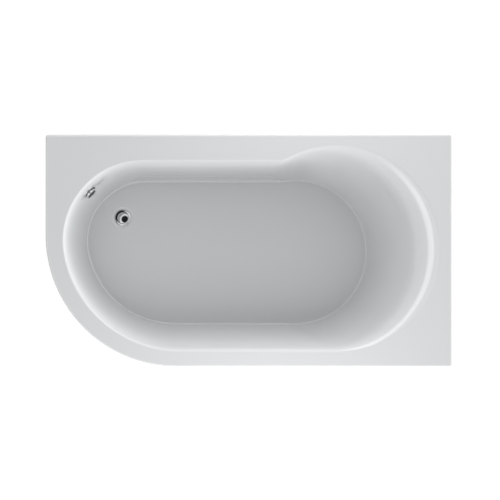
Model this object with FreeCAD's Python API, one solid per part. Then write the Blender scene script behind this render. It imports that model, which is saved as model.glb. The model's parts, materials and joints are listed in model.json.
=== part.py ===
"""Shower bath: a thermoformed acrylic tub laminated to a glass-fibre backing, on a steel leg frame,
with a pop-up waste that a knob on the overflow lifts through a cable, and a tubular trap.

X runs along the bath, with the wide shower end at +X. +Y points to the back wall and +Z up.
The floor that the feet stand on is Z = 0. Lengths are millimetres and angles are degrees.
"""
import FreeCAD, Part
import math
import os

# Rim: a flat deck with a turned-down lip, square at the walls and round at the free front corner
RIM_LENGTH = 1700.0
RIM_WIDTH = 970.0
LIP_DROP = 40.0
FREE_CORNER_RADIUS = 550.0
WALL_CORNER_RADIUS = 12.0
RIM_EDGE_RADIUS = 8.0

# Sheet: the acrylic skin, the resin line behind it and the sprayed glass fibre
ACRYLIC = 5.0
BOND_GAP = 0.3
GLASSFIBRE = 4.0

# Deck width between the rim's outer edge and the basin, on each side
DECK_LEFT = 74.0
DECK_BACK = 107.0
DECK_FRONT = 64.0
DECK_RIGHT = 51.0

# Basin: two arcs, in shares of its width, round the foot end, and one circle is the shower end
BACK_ARC_SHARE = 0.42
FRONT_ARC_SHARE = 0.618
SHOWER_BULGE = 61.0
RIM_CREASE_RADIUS = 30.0

# Basin wall: how far each side leans in, down to the line where it meets the floor
WALL_RUN_LEFT = 53.6
WALL_RUN_BACK = 69.0
WALL_RUN_FRONT = 93.7
WALL_RUN_RIGHT = 277.3
LINE_CREASE_RADIUS = 400.0
LINE_BULGE = 3.0
EDGE_DROP = 18.0
KNEE_LEFT_SHARE = 0.40
KNEE_BACK_SHARE = 0.476
KNEE_FRONT_SHARE = 0.502
KNEE_RIGHT_SHARE = 0.461
KNEE_WEIGHT = 1.25
WALL_STEP_SHARES = (0.0, 0.14, 0.28, 0.42, 0.55, 0.67, 0.78, 0.89, 1.0)
WALL_LEAN_STEP_SHARE = 0.0001

# Floor: a flat that falls towards the waste; the wall runs on below it and is trimmed to it
BASIN_DEPTH = 424.0
FLOOR_FALL_ANGLE = 0.3
FLOOR_TRIM = 6.0
UNDER_CLEARANCE = 145.2

# Waste: its place on the floor, its flange and the plug that closes it
WASTE_FROM_LEFT = 287.0
WASTE_FROM_BACK = 339.0
WASTE_HOLE_RADIUS = 26.5
HOLE_CLEARANCE = 1.5
WASTE_RECESS_MARGIN = 4.0
WASTE_RECESS_DEPTH = 2.5
FLANGE_OVERLAP = 9.5
FLANGE_THICKNESS = 3.0
FLANGE_BEVEL = 1.5
FLANGE_WASHER = 1.5
FLANGE_TAIL_WALL = 3.5
FLANGE_TAIL_LENGTH = 27.0
SEAT_LAND = 0.5
SEAT_DEPTH = 7.0
SPIDER_BAR = 4.0
PLUG_THICKNESS = 6.0
PLUG_CROWN = 4.0
STEM_RADIUS = 3.0
STEM_LENGTH = 40.0
STEM_GUIDE_WALL = 3.0
PLUG_LIFT = 11.0
PLUG_SEAL_WIDTH = 7.0
PLUG_SEAL_THICKNESS = 2.0

# Waste body under the floor, with the branch for the overflow and the lever that lifts the plug
SEAL_OVERLAP = 14.5
SEAL_THICKNESS = 3.0
BODY_FLANGE_THICKNESS = 5.0
CHAMBER_RADIUS = 29.0
BODY_WALL = 4.0
BODY_HEIGHT = 50.0
TAIL_LENGTH = 16.0
BRANCH_DROP = 30.0
BRANCH_REACH = 62.0
LEVER_CLEARANCE = 2.0
LEVER_TIP_RADIUS = 3.0
LEVER_HUB_RADIUS = 5.0
LEVER_WIDTH = 8.0
LEVER_WEB = 3.0
LEVER_PIN_RADIUS = 2.5
LEVER_PIN_LENGTH = 47.0

# Trap: a U-bend and a swivel outlet, joined by ribbed nuts
TRAP_RADIUS = 20.0
TRAP_WALL = 2.5
TRAP_BEND_RADIUS = 36.0
TRAP_INLET_LENGTH = 12.0
TRAP_RISE = 10.0
OUTLET_BEND_RADIUS = 30.0
OUTLET_LENGTH = 75.0
TAIL_STEP = 4.0
NUT_WALL = 6.0
NUT_LENGTH = 22.0
NUT_RIB_COUNT = 12
NUT_RIB_RADIUS = 2.5

# Overflow on the foot-end wall, above the waste: chrome trim and knob inside, elbow behind
OVERFLOW_DEPTH = 82.0
OVERFLOW_HOLE_RADIUS = 24.0
OVERFLOW_LEAN_STEP_SHARE = 0.02
OVERFLOW_LAND_MARGIN = 5.0
TRIM_OVERLAP = 7.0
TRIM_THICKNESS = 4.0
TRIM_EDGE_RADIUS = 1.5
COLLAR_WALL = 3.0
COLLAR_REACH = 6.0
KNOB_RADIUS = 24.0
KNOB_THICKNESS = 10.0
KNOB_STANDOFF = 1.6
KNOB_EDGE_RADIUS = 2.5
KNOB_SCALLOP_COUNT = 8
KNOB_SCALLOP_RADIUS = 6.0
KNOB_SCALLOP_BITE = 1.2
SPINDLE_RADIUS = 4.0
SPINDLE_SOCKET = 6.0
BEARING_WALL = 3.0
BEARING_LENGTH = 8.0
DRUM_RADIUS = 15.0
DRUM_THICKNESS = 6.0
DRUM_GROOVE = 2.0
GASKET_OVERLAP = 11.0
GASKET_THICKNESS = 7.0
ELBOW_FLANGE_THICKNESS = 4.0
ELBOW_RADIUS = 30.0
ELBOW_WALL = 3.0
ELBOW_DEPTH = 34.0
SPIGOT_LENGTH = 48.0

# Overflow hose and the cable beside it
HOSE_ROOT_RADIUS = 16.5
HOSE_RIB_HEIGHT = 2.0
HOSE_BORE = 14.0
HOSE_BEND_RADIUS = 72.0
HOSE_RIB_PITCH = 7.5
HOSE_RIB_STEP_SHARES = (0.1, 0.35, 0.65, 0.9)
HOSE_CUFF_LENGTH = 20.0
HOSE_NUT_WALL = 7.0
HOSE_NUT_LENGTH = 20.0
CABLE_RADIUS = 2.5
CABLE_CLEARANCE = 2.5
CABLE_BEND_RADIUS = 60.0
CABLE_DROP = 38.0
GLAND_RADIUS = 6.0
GLAND_LENGTH = 16.0

# Board, battens and blocks that stiffen the laminate
BOARD_WIDTH = 440.0
BOARD_OVERHANG = 60.0
BOARD_THICKNESS = 18.0
BOARD_CORNER_RADIUS = 25.0
BATTEN_THICKNESS = 18.0
BATTEN_WIDTH = 34.0
BATTEN_EDGE_GAP = 12.0
BATTEN_CORNER_GAP = 40.0
BACK_BATTEN_LENGTH = 700.0
BACK_BATTEN_START = 150.0
LEFT_BATTEN_START = 90.0
FRONT_BATTEN_LENGTH = 560.0
BLOCK_SIDE = 130.0

# Leg frame: two channels across the bath, each on two threaded legs
CHANNEL_FROM_LEFT = 520.0
CHANNEL_PITCH = 560.0
CHANNEL_WIDTH = 40.0
CHANNEL_HEIGHT = 25.0
CHANNEL_WALL = 2.0
CHANNEL_END = 30.0
LEG_CLEARANCE = 6.0
ROD_RADIUS = 6.0
ROD_TOP_STAND = 24.0
ROD_SOCKET = 12.0
ROD_NUT_WALL = 3.5
ROD_NUT_THICKNESS = 10.0
FOOT_RADIUS = 27.0
FOOT_HEIGHT = 22.0
FOOT_BOSS_WALL = 7.0
FOOT_BASE_THICKNESS = 6.0
PAD_INSET = 3.0
PAD_THICKNESS = 3.0
SCREW_PITCH = 120.0
SCREW_COUNT = 4
SCREW_RADIUS = 2.25
SCREW_LENGTH = 15.0
SCREW_HEAD_RADIUS = 4.5
SCREW_HEAD_THICKNESS = 3.0

# Wall hangers: bent strips screwed to the wall, which the rim's lip drops over
HANGER_WIDTH = 40.0
HANGER_STRIP = 2.0
HANGER_LEAF = 66.0
HANGER_LIP_GAP = 3.0
HANGER_UPSTAND_GAP = 4.0
HANGER_HOLE_RADIUS = 3.0
HANGER_HOLE_PITCH = 30.0
HANGER_HOLE_INSET = 18.0
BACK_HANGER_FROM_LEFT = 300.0
BACK_HANGER_PITCH = 510.0
END_HANGER_FROM_FRONT = 155.0

# Clearances: between shafts and bores, between seated pieces, and past a face in a cut
RUNNING_GAP = 0.05
SEAT_GAP = 0.3
OVERRUN = 5.0

# Heights, from the floor up: the clearance under the tub carries the floor, the line and the rim
LEFT = -RIM_LENGTH / 2
RIGHT = RIM_LENGTH / 2
BACK = RIM_WIDTH / 2
FRONT = -RIM_WIDTH / 2
WASTE_X = LEFT + WASTE_FROM_LEFT
WASTE_Y = BACK - WASTE_FROM_BACK
BACKING_INNER = ACRYLIC + BOND_GAP
BACKING_OUTER = BACKING_INNER + GLASSFIBRE
FALL_SINK = (WASTE_X - LEFT) * math.tan(math.radians(FLOOR_FALL_ANGLE))
UNDER_Z = UNDER_CLEARANCE
FLOOR_Z = UNDER_Z + FALL_SINK + BACKING_OUTER
RIM_Z = FLOOR_Z + BASIN_DEPTH
WALL_DEPTH = BASIN_DEPTH + FLOOR_TRIM
LIP_Z = RIM_Z - LIP_DROP
RIM_UNDER_Z = RIM_Z - BACKING_OUTER
BOARD_UNDER_Z = UNDER_Z - BOARD_THICKNESS
CHANNEL_UNDER_Z = BOARD_UNDER_Z - CHANNEL_HEIGHT

# Sizes and heights of the waste that follow from its hole and from the floor
RECESS_Z = FLOOR_Z - WASTE_RECESS_DEPTH
FLANGE_Z = RECESS_Z + FLANGE_WASHER
FLANGE_TOP_Z = FLANGE_Z + FLANGE_THICKNESS
FLANGE_RADIUS = WASTE_HOLE_RADIUS + FLANGE_OVERLAP
FLANGE_TAIL_RADIUS = WASTE_HOLE_RADIUS - HOLE_CLEARANCE
FLANGE_TAIL_Z = FLANGE_Z - FLANGE_TAIL_LENGTH
FLANGE_BORE = FLANGE_TAIL_RADIUS - FLANGE_TAIL_WALL
SEAT_RADIUS = FLANGE_TAIL_RADIUS + SEAT_LAND
PLUG_UNDER_Z = FLANGE_TOP_Z - PLUG_THICKNESS
STEM_END_Z = PLUG_UNDER_Z - STEM_LENGTH
BODY_TOP_Z = UNDER_Z - SEAL_THICKNESS
BODY_UNDER_Z = BODY_TOP_Z - BODY_HEIGHT
BODY_RADIUS = CHAMBER_RADIUS + BODY_WALL
BODY_FLANGE_RADIUS = WASTE_HOLE_RADIUS + SEAL_OVERLAP
TAIL_END_Z = BODY_UNDER_Z - TAIL_LENGTH
TAIL_RADIUS = TRAP_RADIUS + TAIL_STEP
TRAP_BORE = TRAP_RADIUS - TRAP_WALL
BRANCH_Z = BODY_TOP_Z - BRANCH_DROP
CABLE_Z = BODY_TOP_Z - CABLE_DROP
LEVER_ARM = CHAMBER_RADIUS - LEVER_HUB_RADIUS - LEVER_CLEARANCE
LEVER_DIP = math.asin(PLUG_LIFT / 2 / LEVER_ARM)
LEVER_Z = STEM_END_Z - SEAT_GAP - LEVER_TIP_RADIUS + PLUG_LIFT / 2

UP = FreeCAD.Vector(0, 0, 1)
ALONG = FreeCAD.Vector(1, 0, 0)
ACROSS = FreeCAD.Vector(0, 1, 0)
CORNERS = (("back_left", 0, 1), ("front_left", 0, -1), ("back_right", 1, 1), ("front_right", 1, -1))


def point(x, y, z):
    return FreeCAD.Vector(x, y, z)


def straight(start, end):
    return Part.LineSegment(start, end).toShape()


def arc_about(x, y, radius, first, last, z):
    """A horizontal arc about (x, y), from one angle to another, in degrees."""
    angles = [math.radians(a) for a in (first, (first + last) / 2, last)]
    return Part.Arc(*[point(x + radius * math.cos(a), y + radius * math.sin(a), z) for a in angles]).toShape()


def quarter(start, heading, turn_to, radius):
    """A quarter-circle edge that leaves start along heading and ends along turn_to."""
    centre = start + turn_to * radius
    middle = centre + (heading - turn_to) * (radius / math.sqrt(2))
    return Part.Arc(start, middle, centre + heading * radius).toShape()


def rod(radius, start, axis, length):
    return Part.makeCylinder(radius, length, start, axis)


def ring(outer, inner, start, axis, length):
    """A tube with its bore cut right through."""
    bore = rod(inner, start - axis * OVERRUN, axis, length + 2 * OVERRUN)
    return rod(outer, start, axis, length).cut(bore)


def block(x0, x1, y0, y1, z0, z1):
    return Part.makeBox(x1 - x0, y1 - y0, z1 - z0, point(x0, y0, z0))


def bar_along(edges, radius):
    """A round bar swept along straight runs and tangent arcs."""
    path = Part.Wire(edges)
    start = edges[0].valueAt(edges[0].FirstParameter)
    heading = edges[0].tangentAt(edges[0].FirstParameter)
    return path.makePipeShell([Part.Wire(Part.makeCircle(radius, start, heading))], True, False)


def pipe_along(edges, radius, bore):
    return bar_along(edges, radius).cut(bar_along(edges, bore))


def turned(corners):
    """A solid of revolution about Z, from its (radius, height) corners."""
    closed = list(corners) + [corners[0]]
    return Part.Face(Part.makePolygon([point(r, 0, z) for r, z in closed])).revolve(point(0, 0, 0), UP, 360)


def rim_of(shape, z):
    """The edges of a shape that lie at a height."""
    return [e for e in shape.Edges if all(abs(v.Z - z) < RUNNING_GAP for v in e.Vertexes)]


def group(shapes):
    return Part.makeCompound(list(shapes))


# Basin outlines

class Level:
    """One horizontal section of the basin: its four sides, and how the shower end bulges out."""

    def __init__(self, left, back, front, right, crease, bulge):
        self.left = left
        self.back = back
        self.front = front
        self.right = right
        self.crease = crease
        self.bulge = bulge

    def back_arc(self):
        """Centre and radius of the arc at the back of the foot end."""
        radius = (self.back - self.front) * BACK_ARC_SHARE
        return self.left + radius, self.back - radius, radius

    def front_arc_radius(self):
        return (self.back - self.front) * FRONT_ARC_SHARE


RIM_LEVEL = Level(LEFT + DECK_LEFT, BACK - DECK_BACK, FRONT + DECK_FRONT, RIGHT - DECK_RIGHT,
                  RIM_CREASE_RADIUS, SHOWER_BULGE)
LINE_LEVEL = Level(RIM_LEVEL.left + WALL_RUN_LEFT, RIM_LEVEL.back - WALL_RUN_BACK,
                   RIM_LEVEL.front + WALL_RUN_FRONT, RIM_LEVEL.right - WALL_RUN_RIGHT,
                   LINE_CREASE_RADIUS, LINE_BULGE)
LEG_SPREAD = max(LINE_LEVEL.back, -LINE_LEVEL.front) + BACKING_OUTER + ROD_RADIUS + LEG_CLEARANCE


def knee(step, weight):
    """Shares of the middle and the end point of a conic, at a step from 0 to 1."""
    total = (1 - step) ** 2 + 2 * weight * step * (1 - step) + step ** 2
    return 2 * weight * step * (1 - step) / total, step ** 2 / total


def between(first, last, share):
    return first + (last - first) * share


def blend(first, last, left, back, front, right):
    """A level between two others, with its own share on each side."""
    return Level(between(first.left, last.left, left), between(first.back, last.back, back),
                 between(first.front, last.front, front), between(first.right, last.right, right),
                 between(first.crease, last.crease, right), between(first.bulge, last.bulge, back))


def wall_level(step):
    """The wall's section at a step, and its depth under the rim."""
    middle, end = knee(step, KNEE_WEIGHT)
    level = blend(RIM_LEVEL, LINE_LEVEL, middle * KNEE_LEFT_SHARE + end, middle * KNEE_BACK_SHARE + end,
                  middle * KNEE_FRONT_SHARE + end, middle * KNEE_RIGHT_SHARE + end)
    return level, middle * EDGE_DROP + end * WALL_DEPTH


def wall_lean(step):
    """The wall's tilt from level at a step, in radians, taken on the front side."""
    first, depth_first = wall_level(max(0.0, step - WALL_LEAN_STEP_SHARE))
    last, depth_last = wall_level(min(1.0, step + WALL_LEAN_STEP_SHARE))
    return math.atan2(depth_last - depth_first, last.front - first.front)


def outline(level, spread, z):
    """A level's closed outline, widened by spread: straight sides, foot-end arcs and shower circle."""
    back, front = level.back + spread, level.front - spread
    circle = (back + level.bulge - front) / 2
    circle_x, circle_y = level.right + spread - circle, front + circle
    crease = level.crease - spread
    crease_x = circle_x - math.sqrt(level.bulge * (2 * (circle + crease) - level.bulge))
    crease_y = back + crease
    meet = math.degrees(math.atan2(circle_y - crease_y, circle_x - crease_x))
    small_x, small_y, small = level.back_arc()
    small, large = small + spread, level.front_arc_radius() + spread
    large_y = front + large
    large_x = small_x + math.sqrt((large - small) ** 2 - (small_y - large_y) ** 2)
    join = math.degrees(math.atan2(small_y - large_y, small_x - large_x))
    join = join - 360 if join > 0 else join
    return Part.Wire([
        straight(point(small_x, back, z), point(crease_x, back, z)),
        arc_about(crease_x, crease_y, crease, -90, meet, z),
        arc_about(circle_x, circle_y, circle, meet + 180, 0, z),
        arc_about(circle_x, circle_y, circle, 0, -90, z),
        straight(point(circle_x, front, z), point(large_x, front, z)),
        arc_about(large_x, large_y, large, -90, join, z),
        arc_about(small_x, small_y, small, join, -270, z),
    ])


def tub(thickness, fall_angle, sink):
    """The basin as a solid, grown out and down by a thickness. Its floor tilts about the waste."""
    walls = []
    for step in WALL_STEP_SHARES:
        level, depth = wall_level(step)
        walls.append(outline(level, thickness * math.sin(wall_lean(step)), RIM_Z - depth - thickness))
    floor_z = FLOOR_Z - thickness - sink
    below = block(LEFT, RIGHT, FRONT, BACK, floor_z - BASIN_DEPTH, floor_z)
    below.rotate(point(WASTE_X, WASTE_Y, floor_z), ACROSS, -fall_angle)
    return Part.makeLoft(walls, True, False).cut(below)


# Overflow frame: Z points from the foot-end wall into the basin, X lies level along the wall

def overflow_frame():
    """The overflow's placement, and the level directions away from the basin and along the wall."""
    low, high = 0.0, 1.0
    for _ in range(50):
        middle = (low + high) / 2
        low, high = (middle, high) if wall_level(middle)[1] < OVERFLOW_DEPTH else (low, middle)
    level, depth = wall_level(low)
    centre_x, centre_y, radius = level.back_arc()
    angle = math.atan2(WASTE_Y - centre_y, WASTE_X - centre_x)
    outward = point(math.cos(angle), math.sin(angle), 0)
    lateral = point(math.sin(angle), -math.cos(angle), 0)
    place = point(centre_x, centre_y, RIM_Z - depth) + outward * radius
    below, depth_below = wall_level(low + OVERFLOW_LEAN_STEP_SHARE)
    below_x, below_y, below_radius = below.back_arc()
    downward = point(below_x, below_y, RIM_Z - depth_below) + outward * below_radius - place
    inward = downward.cross(lateral).normalize()
    rotation = FreeCAD.Rotation(lateral, inward.cross(lateral), inward, "ZXY")
    return FreeCAD.Placement(place, rotation), outward, lateral


OVERFLOW, OUTWARD, LATERAL = overflow_frame()
WASTE_AXIS = point(WASTE_X, WASTE_Y, 0)
COLLAR_RADIUS = OVERFLOW_HOLE_RADIUS - HOLE_CLEARANCE
COLLAR_BORE = COLLAR_RADIUS - COLLAR_WALL
TRIM_RADIUS = OVERFLOW_HOLE_RADIUS + TRIM_OVERLAP
GASKET_RADIUS = OVERFLOW_HOLE_RADIUS + GASKET_OVERLAP
GASKET_BACK = -BACKING_OUTER - GASKET_THICKNESS
COLLAR_END = GASKET_BACK - COLLAR_REACH
ELBOW_BACK = GASKET_BACK - ELBOW_DEPTH
BEARING_FACE = ELBOW_BACK + ELBOW_WALL + BEARING_LENGTH
KNOB_BACK = TRIM_THICKNESS + KNOB_STANDOFF
SPIGOT_TOP = OVERFLOW.multVec(point(0, 0, (ELBOW_BACK + GASKET_BACK) / 2))
HOSE_REACH = (SPIGOT_TOP - WASTE_AXIS).dot(OUTWARD)
SPIGOT_END_Z = SPIGOT_TOP.z - SPIGOT_LENGTH
HOSE_NUT_RADIUS = HOSE_ROOT_RADIUS + HOSE_NUT_WALL
CABLE_ASIDE = HOSE_NUT_RADIUS + CABLE_RADIUS + CABLE_CLEARANCE
CABLE_TOP_Z = SPIGOT_TOP.z - ELBOW_RADIUS
CABLE_END_REACH = BODY_RADIUS + GLAND_LENGTH


def beside_waste(reach, aside, z):
    """A point from the waste's axis, out towards the overflow and aside from that line."""
    return WASTE_AXIS + OUTWARD * reach + LATERAL * aside + UP * z


def at_overflow(shape):
    placed = shape.copy()
    placed.Placement = OVERFLOW
    return placed


def on_waste(shape):
    return shape.translated(WASTE_AXIS)


# Acrylic shell and its backing

def rim_outline(inset, z):
    left, right, back, front = LEFT + inset, RIGHT - inset, BACK - inset, FRONT + inset
    corner, free = WALL_CORNER_RADIUS - inset, FREE_CORNER_RADIUS - inset
    return Part.Wire([
        straight(point(left + corner, back, z), point(right - corner, back, z)),
        arc_about(right - corner, back - corner, corner, 90, 0, z),
        straight(point(right, back - corner, z), point(right, front + corner, z)),
        arc_about(right - corner, front + corner, corner, 0, -90, z),
        straight(point(right - corner, front, z), point(left + free, front, z)),
        arc_about(left + free, front + free, free, -90, -180, z),
        straight(point(left, front + free, z), point(left, back - corner, z)),
        arc_about(left + corner, back - corner, corner, 180, 90, z),
    ])


def slab(inset, low, high):
    return Part.Face(rim_outline(inset, low)).extrude(UP * (high - low))


def rim_shell():
    outer = slab(0, LIP_Z, RIM_Z)
    outer = outer.makeFillet(RIM_EDGE_RADIUS, rim_of(outer, RIM_Z))
    inner = slab(ACRYLIC, LIP_Z - OVERRUN, RIM_Z - ACRYLIC)
    inner = inner.makeFillet(RIM_EDGE_RADIUS - ACRYLIC, rim_of(inner, RIM_Z - ACRYLIC))
    return outer.cut(inner)


def waste_hole():
    return on_waste(rod(WASTE_HOLE_RADIUS, UP * (UNDER_Z - OVERRUN), UP, FLOOR_Z + OVERRUN - UNDER_Z))


def overflow_hole():
    through = BACKING_OUTER + OVERRUN
    return at_overflow(rod(OVERFLOW_HOLE_RADIUS, UP * -through, UP, 2 * through))


def acrylic_shell():
    """The skin, with a level recess under the waste flange and a flat land under the overflow trim."""
    shell = rim_shell().fuse(tub(ACRYLIC, FLOOR_FALL_ANGLE, 0)).cut(tub(0, FLOOR_FALL_ANGLE, 0))
    recess = on_waste(rod(FLANGE_RADIUS + WASTE_RECESS_MARGIN, UP * RECESS_Z, UP, WASTE_RECESS_DEPTH + OVERRUN))
    land_radius = TRIM_RADIUS + OVERFLOW_LAND_MARGIN
    land = at_overflow(rod(land_radius, point(0, 0, 0), UP, land_radius))
    return shell.cut(recess).cut(waste_hole()).cut(land).cut(overflow_hole()).removeSplitter()


def glassfibre_backing():
    """The sprayed layer under the deck and round the tub, level underneath for the board."""
    deck = slab(BACKING_INNER, RIM_UNDER_Z, RIM_Z - BACKING_INNER)
    deck = deck.makeFillet(RIM_EDGE_RADIUS - BACKING_INNER, rim_of(deck, RIM_Z - BACKING_INNER))
    backing = deck.fuse(tub(BACKING_OUTER, 0, FALL_SINK)).cut(tub(BACKING_INNER, FLOOR_FALL_ANGLE, 0))
    return backing.cut(waste_hole()).cut(overflow_hole()).removeSplitter()


# Board, battens and corner blocks

def channel_x(side):
    return LEFT + CHANNEL_FROM_LEFT + CHANNEL_PITCH * side


def screw_places():
    """Where each channel is screwed to the board."""
    first = -SCREW_PITCH * (SCREW_COUNT - 1) / 2
    return [(channel_x(side), first + SCREW_PITCH * n) for side in (0, 1) for n in range(SCREW_COUNT)]


def screw_hole(x, y):
    top = BOARD_UNDER_Z + SCREW_LENGTH
    low = BOARD_UNDER_Z - CHANNEL_WALL - OVERRUN
    return rod(SCREW_RADIUS + RUNNING_GAP, point(x, y, low), UP, top - low)


def base_board():
    board = block(channel_x(0) - BOARD_OVERHANG, channel_x(1) + BOARD_OVERHANG,
                  -BOARD_WIDTH / 2, BOARD_WIDTH / 2, BOARD_UNDER_Z, UNDER_Z)
    upright = [e for e in board.Edges if abs(e.Vertexes[0].Z - e.Vertexes[1].Z) > RUNNING_GAP]
    board = board.makeFillet(BOARD_CORNER_RADIUS, upright)
    return board.cut(group(screw_hole(x, y) for x, y in screw_places()))


def rim_battens():
    """Strips bonded under the deck at the back, the left and the front."""
    inset = ACRYLIC + BATTEN_EDGE_GAP
    low, high = RIM_UNDER_Z - BATTEN_THICKNESS, RIM_UNDER_Z
    back_x = LEFT + BACK_BATTEN_START
    front_x = LEFT + FREE_CORNER_RADIUS + BATTEN_CORNER_GAP
    return group([
        block(back_x, back_x + BACK_BATTEN_LENGTH, BACK - inset - BATTEN_WIDTH, BACK - inset, low, high),
        block(LEFT + inset, LEFT + inset + BATTEN_WIDTH, FRONT + FREE_CORNER_RADIUS, BACK - LEFT_BATTEN_START,
              low, high),
        block(front_x, front_x + FRONT_BATTEN_LENGTH, FRONT + inset, FRONT + inset + BATTEN_WIDTH, low, high),
    ])


def corner_blocks():
    """Triangular blocks under the two square corners of the shower end."""
    inset = ACRYLIC + BATTEN_EDGE_GAP
    low = RIM_UNDER_Z - BATTEN_THICKNESS
    blocks = []
    for side in (1, -1):
        x, y = RIGHT - inset, side * (BACK - inset)
        corners = [point(x, y, low), point(x - BLOCK_SIDE, y, low), point(x, y - side * BLOCK_SIDE, low)]
        blocks.append(Part.Face(Part.makePolygon(corners + corners[:1])).extrude(UP * BATTEN_THICKNESS))
    return group(blocks)


# Leg frame

def cross_channel(side):
    """A pressed channel, open downwards, with holes for its two legs and its screws."""
    x, length = channel_x(side), 2 * (LEG_SPREAD + CHANNEL_END)
    outer = block(x - CHANNEL_WIDTH / 2, x + CHANNEL_WIDTH / 2, -length / 2, length / 2,
                  CHANNEL_UNDER_Z, BOARD_UNDER_Z)
    inside = CHANNEL_WIDTH / 2 - CHANNEL_WALL
    hollow = block(x - inside, x + inside, -length / 2 - OVERRUN, length / 2 + OVERRUN,
                   CHANNEL_UNDER_Z - OVERRUN, BOARD_UNDER_Z - CHANNEL_WALL)
    leg_holes = [rod(ROD_RADIUS + SEAT_GAP, point(x, y, CHANNEL_UNDER_Z), UP, CHANNEL_HEIGHT + OVERRUN)
                 for y in (-LEG_SPREAD, LEG_SPREAD)]
    screws = [screw_hole(*place) for place in screw_places() if place[0] == x]
    return outer.cut(hollow).cut(group(leg_holes + screws))


def channel_screws():
    head_z = BOARD_UNDER_Z - CHANNEL_WALL
    screws = []
    for x, y in screw_places():
        head = rod(SCREW_HEAD_RADIUS, point(x, y, head_z - SCREW_HEAD_THICKNESS), UP, SCREW_HEAD_THICKNESS)
        shank = rod(SCREW_RADIUS, point(x, y, head_z), UP, SCREW_LENGTH)
        screws.append(head.fuse(shank))
    return group(screws)


def leg_nut(x, y, z):
    across = (ROD_RADIUS + ROD_NUT_WALL) / math.cos(math.radians(30))
    angles = [math.radians(60 * n) for n in range(7)]
    corners = [point(x + across * math.cos(a), y + across * math.sin(a), z) for a in angles]
    hexagon = Part.Face(Part.makePolygon(corners)).extrude(UP * ROD_NUT_THICKNESS)
    through = ROD_NUT_THICKNESS + 2 * OVERRUN
    return hexagon.cut(rod(ROD_RADIUS + RUNNING_GAP, point(x, y, z - OVERRUN), UP, through))


def leg_nuts():
    """A nut above and a nut below each channel, on every leg."""
    heights = (BOARD_UNDER_Z, BOARD_UNDER_Z - CHANNEL_WALL - ROD_NUT_THICKNESS)
    return group(leg_nut(channel_x(side), way * LEG_SPREAD, z) for _, side, way in CORNERS for z in heights)


def leg_rod(side, way):
    low = PAD_THICKNESS + FOOT_HEIGHT - ROD_SOCKET
    high = BOARD_UNDER_Z + ROD_TOP_STAND
    return rod(ROD_RADIUS, point(channel_x(side), way * LEG_SPREAD, low), UP, high - low)


def leg_foot(side, way):
    """A moulded foot: a wide base, a tapered shoulder and a boss with the rod's socket."""
    low, high = PAD_THICKNESS, PAD_THICKNESS + FOOT_HEIGHT
    boss = ROD_RADIUS + FOOT_BOSS_WALL
    socket = ROD_RADIUS + RUNNING_GAP
    shoulder = (FOOT_RADIUS + boss) / 2
    foot = turned([(0, low), (FOOT_RADIUS, low), (FOOT_RADIUS, low + FOOT_BASE_THICKNESS / 2),
                   (shoulder, low + FOOT_BASE_THICKNESS), (boss, low + 2 * FOOT_BASE_THICKNESS), (boss, high),
                   (socket, high), (socket, high - ROD_SOCKET), (0, high - ROD_SOCKET)])
    return foot.translated(point(channel_x(side), way * LEG_SPREAD, 0))


def leg_pad(side, way):
    return rod(FOOT_RADIUS - PAD_INSET, point(channel_x(side), way * LEG_SPREAD, 0), UP, PAD_THICKNESS)


# Wall hangers

def hanger():
    """A strip bent twice: a leaf on the wall (Y = 0), a shelf under the lip and an upstand to the deck."""
    half, shelf_z = HANGER_WIDTH / 2, LIP_Z - HANGER_LIP_GAP
    inner = -(ACRYLIC + HANGER_UPSTAND_GAP)
    leaf_z = shelf_z - HANGER_LEAF
    leaf = block(-half, half, -HANGER_STRIP, 0, leaf_z, shelf_z)
    shelf = block(-half, half, inner - HANGER_STRIP, 0, shelf_z - HANGER_STRIP, shelf_z)
    upstand = block(-half, half, inner - HANGER_STRIP, inner, shelf_z - HANGER_STRIP, RIM_UNDER_Z - SEAT_GAP)
    heights = (leaf_z + HANGER_HOLE_INSET, leaf_z + HANGER_HOLE_INSET + HANGER_HOLE_PITCH)
    holes = [rod(HANGER_HOLE_RADIUS, point(0, -HANGER_STRIP - OVERRUN, z), ACROSS, HANGER_STRIP + 2 * OVERRUN)
             for z in heights]
    return leaf.fuse(shelf).fuse(upstand).cut(group(holes)).removeSplitter()


def back_hanger(number):
    return hanger().translated(point(LEFT + BACK_HANGER_FROM_LEFT + BACK_HANGER_PITCH * number, BACK, 0))


def end_hanger():
    turned_hanger = hanger()
    turned_hanger.rotate(point(0, 0, 0), UP, -90)
    return turned_hanger.translated(point(RIGHT, FRONT + END_HANGER_FROM_FRONT, 0))


# Pop-up waste

def seat_radius(z):
    """The radius of the flange's conical seat at a height."""
    return between(SEAT_RADIUS, FLANGE_BORE, (FLANGE_TOP_Z - z) / SEAT_DEPTH)


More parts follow.
